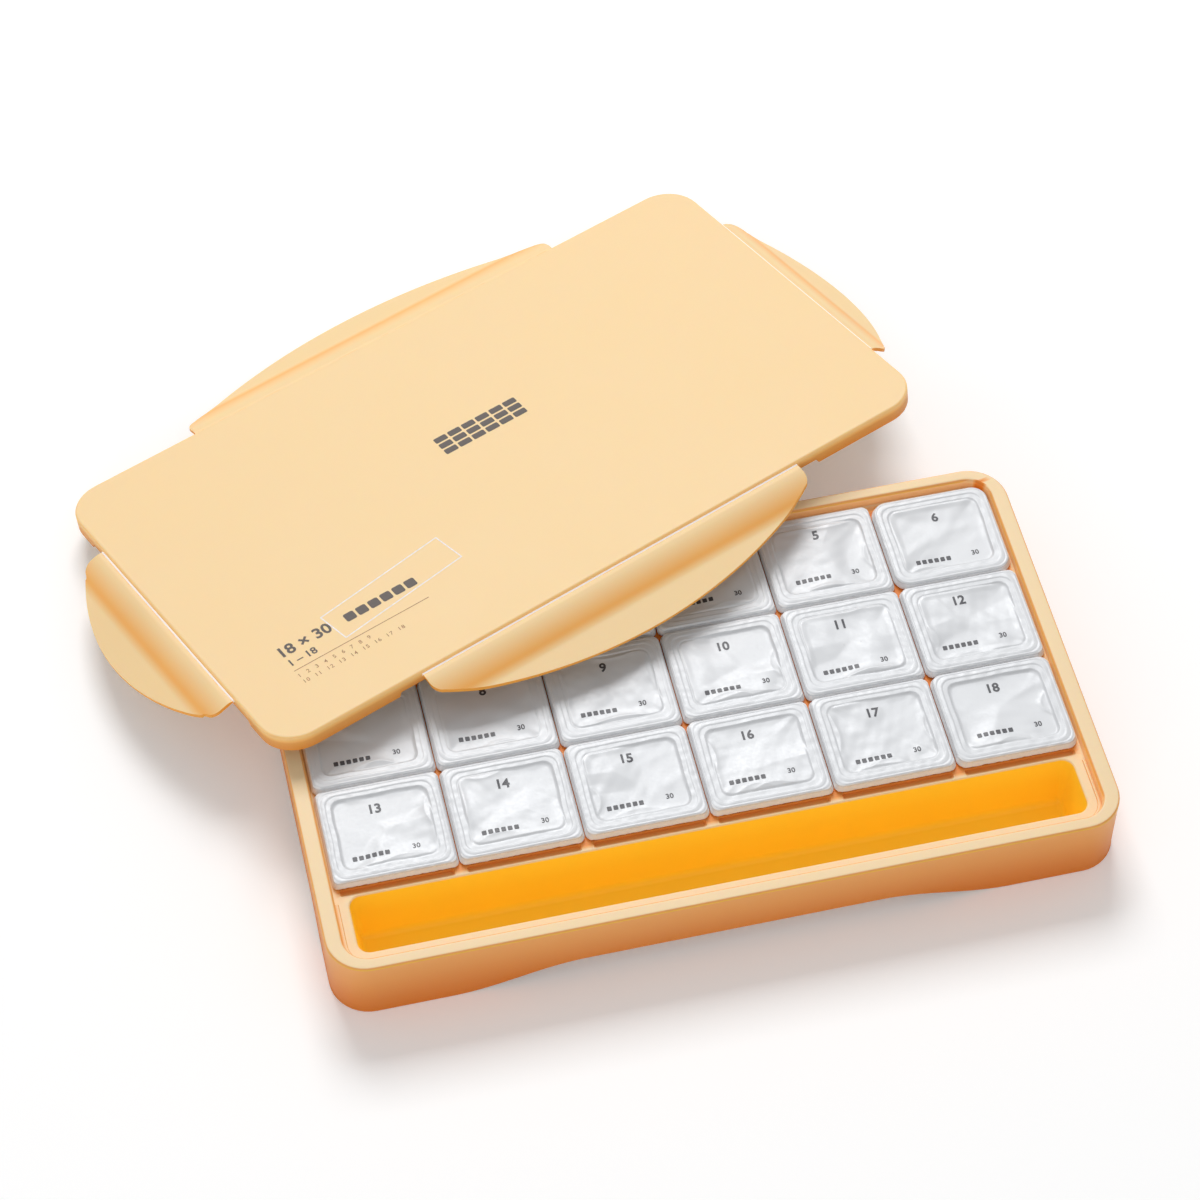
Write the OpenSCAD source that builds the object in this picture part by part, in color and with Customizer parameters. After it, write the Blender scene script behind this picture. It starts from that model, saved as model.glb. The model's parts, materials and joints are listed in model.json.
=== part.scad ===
// Gouache paint set: a flat plastic case with sealed paint cups in a grid and a brush trough along
// the front, and a loose lid with a living-hinge flap on each side. The lid lies turned across the
// back of the open case: its underside rests on the case's rear left corner and the tip of its
// rear flap on the table.
// Frame: origin at the centre of the case's flat underside, +X along the case, +Y to the back, +Z up.

/* [Paint cups] */
// Cups side by side
cup_cols = 6; // [4:1:6]
// Rows of cups, front to back
cup_rows = 3; // [2:1:3]
// Length of a cup's turned-down rim along the case
cup_rim_w = 46.4; // [40:0.1:60]
// Depth of a cup's turned-down rim across the case
cup_rim_d = 41.4; // [36:0.1:55]
// Height of a cup's turned-down rim
cup_rim_h = 3.4; // [2:0.1:6]
// Corner radius of a cup's rim
cup_rim_r = 4.5; // [2.5:0.1:8]
// How far the rim stands out from the cup's body
cup_rim_out = 1.6; // [1.4:0.1:3]
// How far each side of the rim leans in from bottom to top
cup_rim_slope = 0.6; // [0.2:0.1:1]
// Height of a cup from its bottom to the top of its rim
cup_h = 26.2; // [18:0.1:40]
// How far each side of a cup's body leans in from top to bottom
cup_taper = 2.1; // [0.5:0.1:4]
// Wall thickness of a cup
cup_wall = 0.9; // [0.5:0.1:1.2]
// Space left above the paint, under the foil
paint_headspace = 1.2; // [0.5:0.1:8]
// Clearance between the paint block and the cup's wall
paint_gap = 0.1; // [0.05:0.05:0.5]
// Thickness of the sealing foil
foil_t = 0.3; // [0.1:0.05:0.6]
// Height of the seal bead that stands up from the foil
foil_bead_h = 0.3; // [0.1:0.05:0.8]
// Width of the seal bead
foil_bead_w = 1.6; // [0.8:0.1:2.5]
// Distance from the foil's edge to the seal bead
foil_bead_inset = 2.2; // [1:0.1:4]

/* [Case] */
// Gap between neighbouring cup rims
cup_gap = 0.4; // [0.2:0.1:2]
// Clearance between a cup's body and its pocket
pocket_gap = 0.65; // [0.3:0.05:0.9]
// Clearance under a cup's bottom
cup_floor_gap = 0.3; // [0.1:0.1:2]
// Clearance between a cup's rim and the deck that it sits on
seat_gap = 0.1; // [0.05:0.05:0.3]
// Gap between the outer cup rims and the left and right walls
side_gap = 0.6; // [0.3:0.1:6]
// Gap between the rear cup rims and the rear wall
back_gap = 2.1; // [0.3:0.1:8]
// Width of the strip between the trough and the front cups
divider_w = 3.7; // [2.5:0.1:10]
// Width of the trough across the case, at its mouth
trough_d = 23.8; // [15:0.1:40]
// Ledge between the trough and the front wall
front_ledge = 5; // [3:0.1:10]
// Ledge between each end of the trough and the side wall
end_ledge = 5.2; // [3:0.1:12]
// How far each side of the trough leans in from mouth to floor
trough_draft = 3; // [0.5:0.1:5]
// Corner radius of the trough's mouth
trough_r = 4.5; // [3.5:0.1:8]
// Height of the rim above the deck
rim_rise = 4.6; // [3:0.1:8]
// Width of the rim's top along the left and right sides
rim_w_side = 6.5; // [5:0.1:10]
// Width of the rim's top along the front and the back
rim_w_front = 5; // [4.2:0.1:10]
// Radius of the case's outer corners
corner_r = 15; // [12:0.5:30]
// Radius of the corners inside the rim
well_r = 9; // [6:0.1:11]
// Thickness of the outer wall
wall_t = 1.8; // [1.2:0.1:2.4]
// Thickness of the rim, the deck and the walls below the deck
inner_t = 1.6; // [1:0.1:2.2]
// Thickness of the floor under the cups and the trough
floor_t = 2; // [1.2:0.1:3]
// Height of the raised edge of the deck round the trough
deck_step_h = 0.5; // [0.2:0.1:1]
// Width of the raised edge of the deck round the trough
deck_step_w = 1.6; // [0.8:0.1:2]
// Depth of the recesses in the strip behind the trough
recess_depth = 1.2; // [0.5:0.1:2]
// Lip left standing between the recesses and the trough
recess_lip = 1; // [0.6:0.1:1.4]
// Width of the solid pads left between the recesses
recess_pad_w = 9; // [4:0.5:20]
// Height of the grip arches under the four walls
arch_h = 8; // [3:0.5:14]
// Length of the curved end of an arch along the front and the back
arch_run_front = 50; // [20:1:60]
// Straight foot at each end of the front and rear arches
arch_foot_front = 42.5; // [30:0.5:60]
// Length of the curved end of an arch along the left and right sides
arch_run_side = 30; // [10:1:35]
// Straight foot at each end of the side arches
arch_foot_side = 23; // [18:0.5:40]

/* [Lid] */
// Height of the lid from the skirt's bottom to the top of the panel
lid_h = 7; // [5:0.1:14]
// Thickness of the lid's panel
panel_t = 1.8; // [1.2:0.1:2.6]
// Thickness of the lid's skirt
skirt_t = 1.8; // [1.2:0.1:3]
// Depth of the hinge lines below the top of the panel
hinge_depth = 1.7; // [1.2:0.1:3]
// Distance of the hinge lines outside the lid's edge
hinge_out = 0.3; // [0.2:0.05:0.6]
// Radius of the round bead of a flap, on its hinge line
bead_r = 0.6; // [0.4:0.05:0.7]
// Clearance of the bead in the lid's groove
hinge_gap = 0.3; // [0.1:0.05:0.4]
// How far the skirt is cut away behind the flaps
notch_h = 2; // [0.5:0.1:3]
// How far that cut runs on past each end of a flap
notch_over = 10; // [2:0.5:20]

/* [Flaps] */
// Distance from the lid's corner to the end of the front and rear flaps
long_flap_margin = 61.5; // [40:0.5:65]
// Distance from the lid's corner to the end of the side flaps
short_flap_margin = 34; // [22:0.5:38]
// Reach of the front and rear flaps from the hinge line
long_flap_reach = 27.7; // [22:0.1:40]
// Drop of the front and rear flaps at their tip
long_flap_drop = 9.2; // [6:0.1:14]
// Reach of the front and rear flaps to their crease
long_crease_reach = 14.5; // [11:0.1:18]
// Drop of the front and rear flaps at their crease
long_crease_drop = 6.2; // [3:0.1:8]
// Reach of the side flaps from the hinge line
short_flap_reach = 24.4; // [20:0.1:35]
// Drop of the side flaps at their tip
short_flap_drop = 8.1; // [5:0.1:12]
// Reach of the side flaps to their crease
short_crease_reach = 12.8; // [10:0.1:16]
// Drop of the side flaps at their crease
short_crease_drop = 5.5; // [3:0.1:8]
// Reach of every flap at its two ends
flap_end_reach = 8; // [6.5:0.1:12]
// Radius of the corners at the ends of the flaps
flap_corner_r = 5; // [2:0.1:6]
// Slope of a flap where it leaves the hinge line, drop per unit of reach
flap_root_slope = 0.14; // [0:0.01:0.3]
// Thickness of a flap
flap_t = 1.5; // [1:0.1:2.2]
// Thickness of a flap at its tip
lip_t = 1; // [0.6:0.1:2]

/* [Arrangement] */
// Turn of the lid across the case, in degrees
lid_turn = 21.64; // [5:0.01:40]
// Sideways lean of the lid, in degrees
lid_roll = -0.56; // [-2:0.01:0]
// Place on the lid, along it from its centre, that rests on the case's corner
rest_x = -107.8; // [-125:0.1:-80]
// Place on the lid, across it from its centre, that rests on the case's corner
rest_y = -14.1; // [-30:0.1:0]
// Gap left between the lid's underside and the corner of the case
rest_gap = 0.4; // [0.2:0.1:1]
// Gap left between the rear flap's tip and the table
table_gap = 0.2; // [0.1:0.1:1]
// Extra fold of the front flap, in degrees
front_fold = 0; // [-20:0.1:4]
// Extra fold of the rear flap, in degrees
rear_fold = -1.6; // [-10:0.1:4]
// Extra fold of the left flap, in degrees
left_fold = 0; // [-20:0.1:20]
// Extra fold of the right flap, in degrees
right_fold = 17; // [-20:0.1:30]

/* [Hidden] */
$fn = 64;
cut_over = 1;           // how far a cutting shape runs on past the face that it opens
curve_steps = 8;        // straight steps along each curved stretch of an outline

case_colour = [0.98, 0.80, 0.47];
lid_colour = [0.98, 0.85, 0.65];
flap_colour = [0.97, 0.83, 0.58];
cup_colour = [0.95, 0.95, 0.94];
foil_colour = [0.80, 0.81, 0.82];
paint_colours = ["white", "gold", "orange", "orangered", "firebrick", "deeppink", "plum", "indigo",
    "royalblue", "deepskyblue", "mediumturquoise", "seagreen", "yellowgreen", "olivedrab",
    "burlywood", "peru", "saddlebrown", "black"];

cup_count = cup_cols * cup_rows;
pitch_x = cup_rim_w + cup_gap;
pitch_y = cup_rim_d + cup_gap;
cup_top = [cup_rim_w - 2 * cup_rim_out, cup_rim_d - 2 * cup_rim_out];
cup_bottom = [cup_top[0] - 2 * cup_taper, cup_top[1] - 2 * cup_taper];
cup_body_r = cup_rim_r;
pocket = [cup_top[0] + 2 * pocket_gap, cup_top[1] + 2 * pocket_gap];
foil = [cup_rim_w - 2 * cup_rim_slope, cup_rim_d - 2 * cup_rim_slope];

cup_z = floor_t + cup_floor_gap;
deck_z = cup_z + cup_h - cup_rim_h - seat_gap;
case_h = deck_z + rim_rise;

well_w = cup_cols * pitch_x + 2 * side_gap;
well_d = front_ledge + trough_d + divider_w + cup_rows * pitch_y + back_gap;
case_w = well_w + 2 * rim_w_side;
case_d = well_d + 2 * rim_w_front;
trough_front = -well_d / 2 + front_ledge;
trough_back = trough_front + trough_d;
trough_w = well_w - 2 * end_ledge;
grid_front = trough_back + divider_w;
grid_back = grid_front + cup_rows * pitch_y;

// The hinge lines lie in the plane z = 0 of the lid's own frame, whose origin is at its centre
hinge_x = case_w / 2 + hinge_out;
hinge_y = case_d / 2 + hinge_out;
panel_low = hinge_depth - panel_t;
skirt_low = hinge_depth - lid_h;
long_flap_half = case_w / 2 - long_flap_margin;
short_flap_half = case_d / 2 - short_flap_margin;

// A flap's profile: reach and drop at the crease and at the tip
long_profile = [long_crease_reach, long_crease_drop, long_flap_reach, long_flap_drop];
short_profile = [short_crease_reach, short_crease_drop, short_flap_reach, short_flap_drop];

// The lid leans from the tip of its rear flap, on the table, over the case's rear left corner
rest_z = panel_low - rest_gap;
rear_tip_reach = long_flap_reach * cos(rear_fold) - (long_flap_drop + lip_t / 2) * sin(rear_fold);
rear_tip_drop = long_flap_reach * sin(rear_fold) + (long_flap_drop + lip_t / 2) * cos(rear_fold);
lean_run = hinge_y + rear_tip_reach - rest_y;
lean_rise = (rest_z + rear_tip_drop) * cos(lid_roll) - rest_x * sin(lid_roll);
lid_lean = asin((case_h - table_gap) / sqrt(pow(lean_run, 2) + pow(lean_rise, 2)))
    - atan2(lean_rise, lean_run);
case_corner = [-(case_w / 2 - corner_r) - corner_r * sin(lid_turn),
    (case_d / 2 - corner_r) + corner_r * cos(lid_turn), case_h];

function name_of(kind, i) = str(kind, "_", i < 10 ? "0" : "", i);

// Size of a leaning-sided block at height z, from its sizes at height 0 and at height h
function size_at(low, high, h, z) = [for (k = [0, 1]) low[k] + (high[k] - low[k]) * z / h];
function grown(size, by) = [for (s = size) s + 2 * by];
// Smooth rise from 0 to 1 with level ends
function s_curve(t) = (1 - cos(180 * t)) / 2;

module round_rect(size, r) {
    square([size[0] - 2 * r, size[1]], center = true);
    square([size[0], size[1] - 2 * r], center = true);
    for (sx = [-1, 1], sy = [-1, 1])
        translate([sx * (size[0] / 2 - r), sy * (size[1] / 2 - r)]) circle(r);
}

module round_block(size, h, r) {
    linear_extrude(h) round_rect(size, r);
}

// One pair of leaning sides: a four-cornered outline drawn out across them
module leaning_pair(low, high, h, across) {
    rotate([90, 0, 0])
        linear_extrude(across + 2 * cut_over, center = true)
            polygon([[-low / 2, 0], [low / 2, 0], [high / 2, h], [-high / 2, h]]);
}

// Block with flat leaning sides and rounded corners
module leaning_block(low, high, h, r) {
    widest = [max(low[0], high[0]), max(low[1], high[1])];
    intersection() {
        leaning_pair(low[0], high[0], h, widest[1]);
        rotate([0, 0, 90]) leaning_pair(low[1], high[1], h, widest[0]);
        round_block(widest, h, r);
    }
}

// ---- paint cups, numbered along each row from the rear left ----

module at_cup(i) {
    col = (i - 1) % cup_cols;
    row = floor((i - 1) / cup_cols);
    translate([(col - (cup_cols - 1) / 2) * pitch_x, grid_back - (row + 0.5) * pitch_y, cup_z])
        children();
}

module cup_rim() {
    rim_low = [cup_rim_w, cup_rim_d];
    translate([0, 0, cup_h - cup_rim_h]) difference() {
        leaning_block(rim_low, foil, cup_rim_h, cup_rim_r);
        translate([0, 0, -cut_over])
            leaning_block(grown(size_at(rim_low, foil, cup_rim_h, -cut_over), -cup_wall),
                grown(size_at(rim_low, foil, cup_rim_h, cup_rim_h - cup_wall), -cup_wall),
                cup_rim_h - cup_wall + cut_over, cup_rim_r - cup_wall);
    }
}

// The inside of a cup between two heights, drawn in by gap on its four sides
module cup_inside(z_low, z_high, gap) {
    translate([0, 0, z_low])
        leaning_block(grown(size_at(cup_bottom, cup_top, cup_h, z_low), -cup_wall - gap),
            grown(size_at(cup_bottom, cup_top, cup_h, z_high), -cup_wall - gap),
            z_high - z_low, cup_body_r - cup_wall);
}

module cup(i) {
    color(cup_colour) at_cup(i) difference() {
        union() {
            leaning_block(cup_bottom, cup_top, cup_h, cup_body_r);
            cup_rim();
        }
        cup_inside(cup_wall, cup_h + cut_over, 0);
    }
}

module paint(i) {
    color(paint_colours[i - 1]) at_cup(i) cup_inside(cup_wall, cup_h - paint_headspace, paint_gap);
}

module foil(i) {
    bead = grown(foil, -foil_bead_inset);
    color(foil_colour) at_cup(i) translate([0, 0, cup_h]) {
        round_block(foil, foil_t, cup_rim_r);
        translate([0, 0, foil_t]) difference() {
            round_block(bead, foil_bead_h, cup_rim_r);
            translate([0, 0, -cut_over])
                round_block(grown(bead, -foil_bead_w), foil_bead_h + 2 * cut_over,
                    cup_rim_r - foil_bead_w / 2);
        }
    }
}

// ---- case ----

// Outline of a grip arch: feet at the ends, a level top in the middle and S-shaped ends between
module arch_outline(wall_len, foot, run) {
    start = wall_len / 2 - foot;
    rise = [for (k = [0 : curve_steps]) [start - run * k / curve_steps,
        arch_h * s_curve(k / curve_steps)]];
    fall = [for (k = [curve_steps : -1 : 0]) [-rise[k][0], rise[k][1]]];
    polygon(concat([[start, -cut_over]], rise, fall, [[-start, -cut_over]]));
}

module outer_wall() {
    difference() {
        round_block([case_w, case_d], case_h, corner_r);
        translate([0, 0, -cut_over])
            round_block([case_w - 2 * wall_t, case_d - 2 * wall_t], case_h + 2 * cut_over,
                corner_r - wall_t);
        rotate([90, 0, 0]) linear_extrude(case_d + 2 * cut_over, center = true)
            arch_outline(case_w, arch_foot_front, arch_run_front);
        rotate([90, 0, 90]) linear_extrude(case_w + 2 * cut_over, center = true)
            arch_outline(case_d, arch_foot_side, arch_run_side);
    }
}

// Rim, the wall that drops from it and the deck, before anything is cut out of the deck
module deck_pan() {
    difference() {
        union() {
            translate([0, 0, case_h - inner_t]) round_block([case_w, case_d], inner_t, corner_r);
            translate([0, 0, deck_z - inner_t])
                round_block([well_w + 2 * inner_t, well_d + 2 * inner_t], rim_rise + inner_t,
                    well_r + inner_t);
        }
        translate([0, 0, deck_z]) round_block([well_w, well_d], rim_rise + cut_over, well_r);
    }
}

module pocket_block() {
    block_front = grid_front - inner_t;
    block_d = well_d / 2 - block_front;
    translate([0, block_front + block_d / 2, 0]) round_block([well_w, block_d], deck_z, inner_t);
}

module trough_shape(z_low, z_high, wall) {
    mouth = [trough_w, trough_d];
    bed = grown(mouth, -trough_draft);
    translate([0, (trough_front + trough_back) / 2, z_low])
        leaning_block(grown(size_at(bed, mouth, deck_z, z_low), wall),
            grown(size_at(bed, mouth, deck_z, z_high), wall), z_high - z_low, trough_r + wall);
}

module pockets() {
    for (i = [1 : cup_count])
        at_cup(i) translate([0, 0, -cup_floor_gap]) round_block(pocket, case_h, cup_body_r);
}

// Raised edge of the deck round the front and the ends of the trough
module deck_step() {
    translate([0, 0, deck_z - inner_t]) intersection() {
        difference() {
            round_block([well_w, well_d], inner_t + deck_step_h, well_r);
            round_block([well_w - 2 * deck_step_w, well_d - 2 * deck_step_w],
                inner_t + deck_step_h + cut_over, well_r - deck_step_w);
        }
        translate([-case_w / 2, -case_d / 2, 0])
            cube([case_w, case_d / 2 + trough_back, inner_t + deck_step_h]);
    }
}

module recesses() {
    recess_w = pitch_x - recess_pad_w;
    recess_front = trough_back + recess_lip;
    for (col = [0 : cup_cols - 1])
        translate([(col - cup_cols / 2) * pitch_x + recess_pad_w / 2, recess_front,
            deck_z - recess_depth])
            cube([recess_w, grid_front - recess_front, recess_depth + cut_over]);
}

module case() {
    color(case_colour) difference() {
        union() {
            outer_wall();
            deck_pan();
            deck_step();
            pocket_block();
            trough_shape(0, deck_z, inner_t);
        }
        pockets();
        trough_shape(floor_t, deck_z + cut_over, 0);
        recesses();
    }
}

// ---- lid and flaps ----

module in_lid() {
    translate(case_corner) rotate([0, 0, lid_turn]) rotate([-lid_lean, 0, 0]) rotate([0, lid_roll, 0])
        translate([-rest_x, -rest_y, -rest_z]) children();
}

// Groove for a flap's bead and the cut in the skirt behind the flap, on the +Y side
module flap_seat(half_len, hinge_at) {
    translate([0, hinge_at, 0]) rotate([0, 90, 0])
        cylinder(h = 2 * (half_len + hinge_gap), r = bead_r + hinge_gap, center = true);
    translate([-half_len - notch_over, hinge_at - hinge_out - skirt_t - cut_over, skirt_low - cut_over])
        cube([2 * (half_len + notch_over), skirt_t + hinge_out + 2 * cut_over, notch_h + cut_over]);
}

module lid() {
    color(lid_colour) in_lid() difference() {
        translate([0, 0, skirt_low]) round_block([case_w, case_d], lid_h, corner_r);
        translate([0, 0, skirt_low - cut_over])
            round_block([case_w - 2 * skirt_t, case_d - 2 * skirt_t], lid_h - panel_t + cut_over,
                corner_r - skirt_t);
        for (turn = [0, 180]) rotate([0, 0, turn]) flap_seat(long_flap_half, hinge_y);
        for (turn = [90, -90]) rotate([0, 0, turn]) flap_seat(short_flap_half, hinge_x);
    }
}

// Height of a flap's middle surface at a reach u: it bows down to the crease, then runs straight
function flap_height(u, p) = u <= p[0]
    ? -flap_root_slope * u - (p[1] - flap_root_slope * p[0]) * pow(u / p[0], 2)
    : -p[1] - (p[3] - p[1]) * (u - p[0]) / (p[2] - p[0]);

function flap_edge(p, side) = concat(
    [[bead_r / 2, flap_height(bead_r / 2, p) + side * bead_r / 2]],
    [for (k = [1 : curve_steps]) [p[0] * k / curve_steps,
        flap_height(p[0] * k / curve_steps, p) + side * flap_t / 2]],
    [[p[2], -p[3] + side * lip_t / 2]]);

function backwards(list) = [for (k = [len(list) - 1 : -1 : 0]) list[k]];

// Flat outline of a flap: straight short ends, small round corners and one long arc
module flap_outline(half_len, reach) {
    rise = reach - flap_end_reach;
    arc_r = (pow(half_len, 2) + pow(rise, 2)) / (2 * rise);
    corner_x = half_len - flap_corner_r;
    corner_y = reach - arc_r + sqrt(pow(arc_r - flap_corner_r, 2) - pow(corner_x, 2));
    blend_x = corner_x * arc_r / (arc_r - flap_corner_r);
    intersection() {
        union() {
            translate([-half_len, -cut_over]) square([2 * half_len, corner_y + cut_over]);
            translate([-blend_x, -cut_over]) square([2 * blend_x, reach + 2 * cut_over]);
            for (sx = [-1, 1]) translate([sx * corner_x, corner_y]) circle(flap_corner_r);
        }
        translate([0, reach - arc_r]) circle(arc_r, $fn = 256);
    }
}

// A flap that reaches out along +Y from the hinge line on the X axis
module flap(half_len, p) {
    depth = p[3] + flap_t;
    rotate([0, 90, 0]) cylinder(h = 2 * half_len, r = bead_r, center = true);
    intersection() {
        rotate([90, 0, 90]) linear_extrude(2 * half_len + cut_over, center = true)
            polygon(concat(flap_edge(p, 1), backwards(flap_edge(p, -1))));
        translate([0, 0, -depth]) linear_extrude(2 * depth) flap_outline(half_len, p[2]);
    }
}

module at_hinge(turn, hinge_at, fold) {
    color(flap_colour) in_lid() rotate([0, 0, turn]) translate([0, hinge_at, 0]) rotate([-fold, 0, 0])
        children();
}

module flap_front() { at_hinge(180, hinge_y, front_fold) flap(long_flap_half, long_profile); }
module flap_rear() { at_hinge(0, hinge_y, rear_fold) flap(long_flap_half, long_profile); }
module flap_left() { at_hinge(90, hinge_x, left_fold) flap(short_flap_half, short_profile); }
module flap_right() { at_hinge(-90, hinge_x, right_fold) flap(short_flap_half, short_profile); }

case();
lid();
flap_front();
flap_rear();
flap_left();
flap_right();
for (i = [1 : cup_count]) {
    cup(i);
    paint(i);
    foil(i);
}
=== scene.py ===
"""Gouache paint set: an open case of foil-sealed paint cups with its flapped lid lying across it.

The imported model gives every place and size. Lengths are in metres, or in millimetres times MM.
"""

import json
import math

import bmesh
import bpy
import numpy as np
from mathutils import Matrix, Vector, geometry, noise


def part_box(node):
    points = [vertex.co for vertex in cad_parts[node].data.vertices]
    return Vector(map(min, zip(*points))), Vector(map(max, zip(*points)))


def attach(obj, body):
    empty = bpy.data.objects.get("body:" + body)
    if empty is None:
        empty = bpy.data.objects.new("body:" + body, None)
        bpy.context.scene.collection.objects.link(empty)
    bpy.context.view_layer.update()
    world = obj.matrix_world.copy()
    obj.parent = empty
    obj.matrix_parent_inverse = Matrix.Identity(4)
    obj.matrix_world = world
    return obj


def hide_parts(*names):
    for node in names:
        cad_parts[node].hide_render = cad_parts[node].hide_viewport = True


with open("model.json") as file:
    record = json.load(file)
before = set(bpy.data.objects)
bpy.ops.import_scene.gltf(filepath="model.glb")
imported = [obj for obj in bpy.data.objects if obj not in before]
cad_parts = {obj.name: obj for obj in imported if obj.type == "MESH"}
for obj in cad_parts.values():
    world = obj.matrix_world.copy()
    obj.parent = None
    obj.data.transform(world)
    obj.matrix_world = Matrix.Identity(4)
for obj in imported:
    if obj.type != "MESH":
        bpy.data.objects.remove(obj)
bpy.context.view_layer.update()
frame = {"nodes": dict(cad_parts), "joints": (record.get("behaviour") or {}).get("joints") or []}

# ---- Case ----
# The case is one injection moulding of yellow-orange polypropylene: a thin outer wall with an arch
# under each side, a flat rim, a deck just below it, eighteen pockets for the cups and a long trough
# for brushes. The plastic is slightly translucent; the glow in the trough is painted light.

MM = 0.001
case_low, case_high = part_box("case")
case_size = case_high - case_low
CASE_CORNER = 15 * MM
WALL = 1.8 * MM
INNER_WALL = 1.6 * MM
FLOOR = 2 * MM
RIM_SIDE = 6.5 * MM
RIM_FRONT = 5 * MM
WELL_CORNER = 9 * MM
RIM_ROUND = 0.9 * MM
RIM_INNER_ROUND = 1.2 * MM
DECK = case_high.z - 4.6 * MM
ARCH = 8 * MM
ARCH_FRONT = (105 * MM, 55 * MM)
ARCH_SIDE = (62 * MM, 32 * MM)
well = (case_size.x - 2 * RIM_SIDE, case_size.y - 2 * RIM_FRONT)


def even(count):
    """Even stops from one end of a side to the other, as shares of its half."""
    return np.linspace(-1, 1, count)


def ring_plan(x_stops, y_stops, corner_steps):
    """Where the points of every ring lie: shares of the corner centres, and turning angles."""
    centres, angles = [], []
    for side in range(4):
        turn = side * math.pi / 2
        c, s = round(math.cos(turn)), round(math.sin(turn))
        stops = y_stops if side % 2 == 0 else x_stops
        centres += [(c - s * t, s + c * t) for t in stops]
        angles += [turn] * len(stops)
        corner = (c - s, s + c)
        for k in range(1, corner_steps):
            centres.append(corner)
            angles.append(turn + k * math.pi / 2 / corner_steps)
    return np.array(centres, float), np.array(angles)


def ring(plan, size, radius, z, centre=(0.0, 0.0)):
    """Points round a rounded rectangle at height z, which is a number or one number for each point."""
    centres, angles = plan
    x = centre[0] + centres[:, 0] * (size[0] / 2 - radius) + radius * np.cos(angles)
    y = centre[1] + centres[:, 1] * (size[1] / 2 - radius) + radius * np.sin(angles)
    return np.column_stack((x, y, np.broadcast_to(z, x.shape)))


def grow(size, by):
    return size[0] + 2 * by, size[1] + 2 * by


def skin(rings, close_first=False, close_last=False):
    """Vertices and faces of a surface through closed rings of equal count."""
    count = len(rings[0])
    faces = []
    for level in range(len(rings) - 1):
        a, b = level * count, (level + 1) * count
        for i in range(count):
            j = (i + 1) % count
            faces.append((a + i, a + j, b + j, b + i))
    if close_first:
        faces.append(tuple(range(count)))
    if close_last:
        faces.append(tuple(range((len(rings) - 1) * count, len(rings) * count)))
    return np.vstack(rings), faces


def sheet_with_holes(outer, holes, z):
    """Flat face at height z between an outer ring and the rings of its holes."""
    loops = [outer] + holes
    points = np.vstack(loops)[:, :2]
    edges, start = [], 0
    for loop in loops:
        n = len(loop)
        edges += [(start + i, start + (i + 1) % n) for i in range(n)]
        start += n
    found = geometry.delaunay_2d_cdt([Vector(p) for p in points], edges, [], 0, 1e-7)
    corners = np.array([v[:] for v in found[0]])
    triangles = np.array(found[2])
    middles = corners[triangles].mean(axis=1)
    keep = inside(middles, outer)
    for hole in holes:
        keep &= ~inside(middles, hole)
    flat = np.column_stack((corners, np.full(len(corners), z)))
    return flat, [tuple(int(i) for i in t) for t in triangles[keep]]


def inside(points, loop):
    """Which points lie inside a closed convex loop that runs anticlockwise."""
    a = loop[:, :2]
    step = np.roll(a, -1, axis=0) - a
    offset = points[:, None, :] - a[None, :, :]
    return (step[:, 0] * offset[:, :, 1] - step[:, 1] * offset[:, :, 0] > -1e-12).all(axis=1)


def placed(name, data):
    """A new object in the scene, from its mesh, curve, light or camera."""
    made = bpy.data.objects.new(name, data)
    bpy.context.scene.collection.objects.link(made)
    return made


def piece(name, parts, matrix=Matrix.Identity(4), sharp=38, merge=1e-6):
    """One object from lists of vertices and faces, with its place in its mesh. Edges that turn by
    more than sharp degrees stay crisp."""
    vertices, faces = [], []
    for part_vertices, part_faces in parts:
        start = len(vertices)
        vertices += [tuple(v) for v in part_vertices]
        faces += [tuple(start + i for i in f) for f in part_faces]
    mesh = bpy.data.meshes.new(name)
    mesh.from_pydata(vertices, [], faces)
    work = bmesh.new()
    work.from_mesh(mesh)
    bmesh.ops.remove_doubles(work, verts=work.verts, dist=merge)
    bmesh.ops.recalc_face_normals(work, faces=work.faces)
    for edge in work.edges:
        edge.smooth = edge.is_boundary or edge.calc_face_angle(0) < math.radians(sharp)
    for face in work.faces:
        face.smooth = True
    work.to_mesh(mesh)
    work.free()
    mesh.transform(matrix)
    return placed(name, mesh)


def finished_mesh(made):
    """A plain mesh of an object as it stands, with its modifiers or its curve worked out."""
    bpy.context.view_layer.update()
    return bpy.data.meshes.new_from_object(made.evaluated_get(bpy.context.evaluated_depsgraph_get()))


def settled(made):
    """The piece with its modifiers made part of its mesh."""
    mesh = finished_mesh(made)
    made.modifiers.clear()
    made.data = mesh
    return made


def even_shading(made):
    """Large flat faces keep their own direction and the fillets between them turn smoothly."""
    weighted = made.modifiers.new("even shading", "WEIGHTED_NORMAL")
    weighted.keep_sharp = True
    return settled(made)


def quarter_arc(count):
    """Pairs of (cosine, sine) over a quarter turn."""
    angles = [math.radians(90 * k / count) for k in range(count + 1)]
    return [(math.cos(angle), math.sin(angle)) for angle in angles]


def arch_height(points):
    """Height of the wall's lower edge: feet at the corners, a level arch in the middle."""
    def rise(along, limits):
        share = np.clip((limits[0] - np.abs(along)) / (limits[0] - limits[1]), 0, 1)
        return ARCH * (1 - np.cos(math.pi * share)) / 2
    on_front = np.abs(points[:, 1]) > case_size.y / 2 - CASE_CORNER * 0.9
    return np.where(on_front, rise(points[:, 0], ARCH_FRONT), rise(points[:, 1], ARCH_SIDE))


case_plan = ring_plan(even(97), even(57), 10)
outer_size = (case_size.x, case_size.y)
under_edge = arch_height(ring(case_plan, outer_size, CASE_CORNER, 0))


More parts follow.
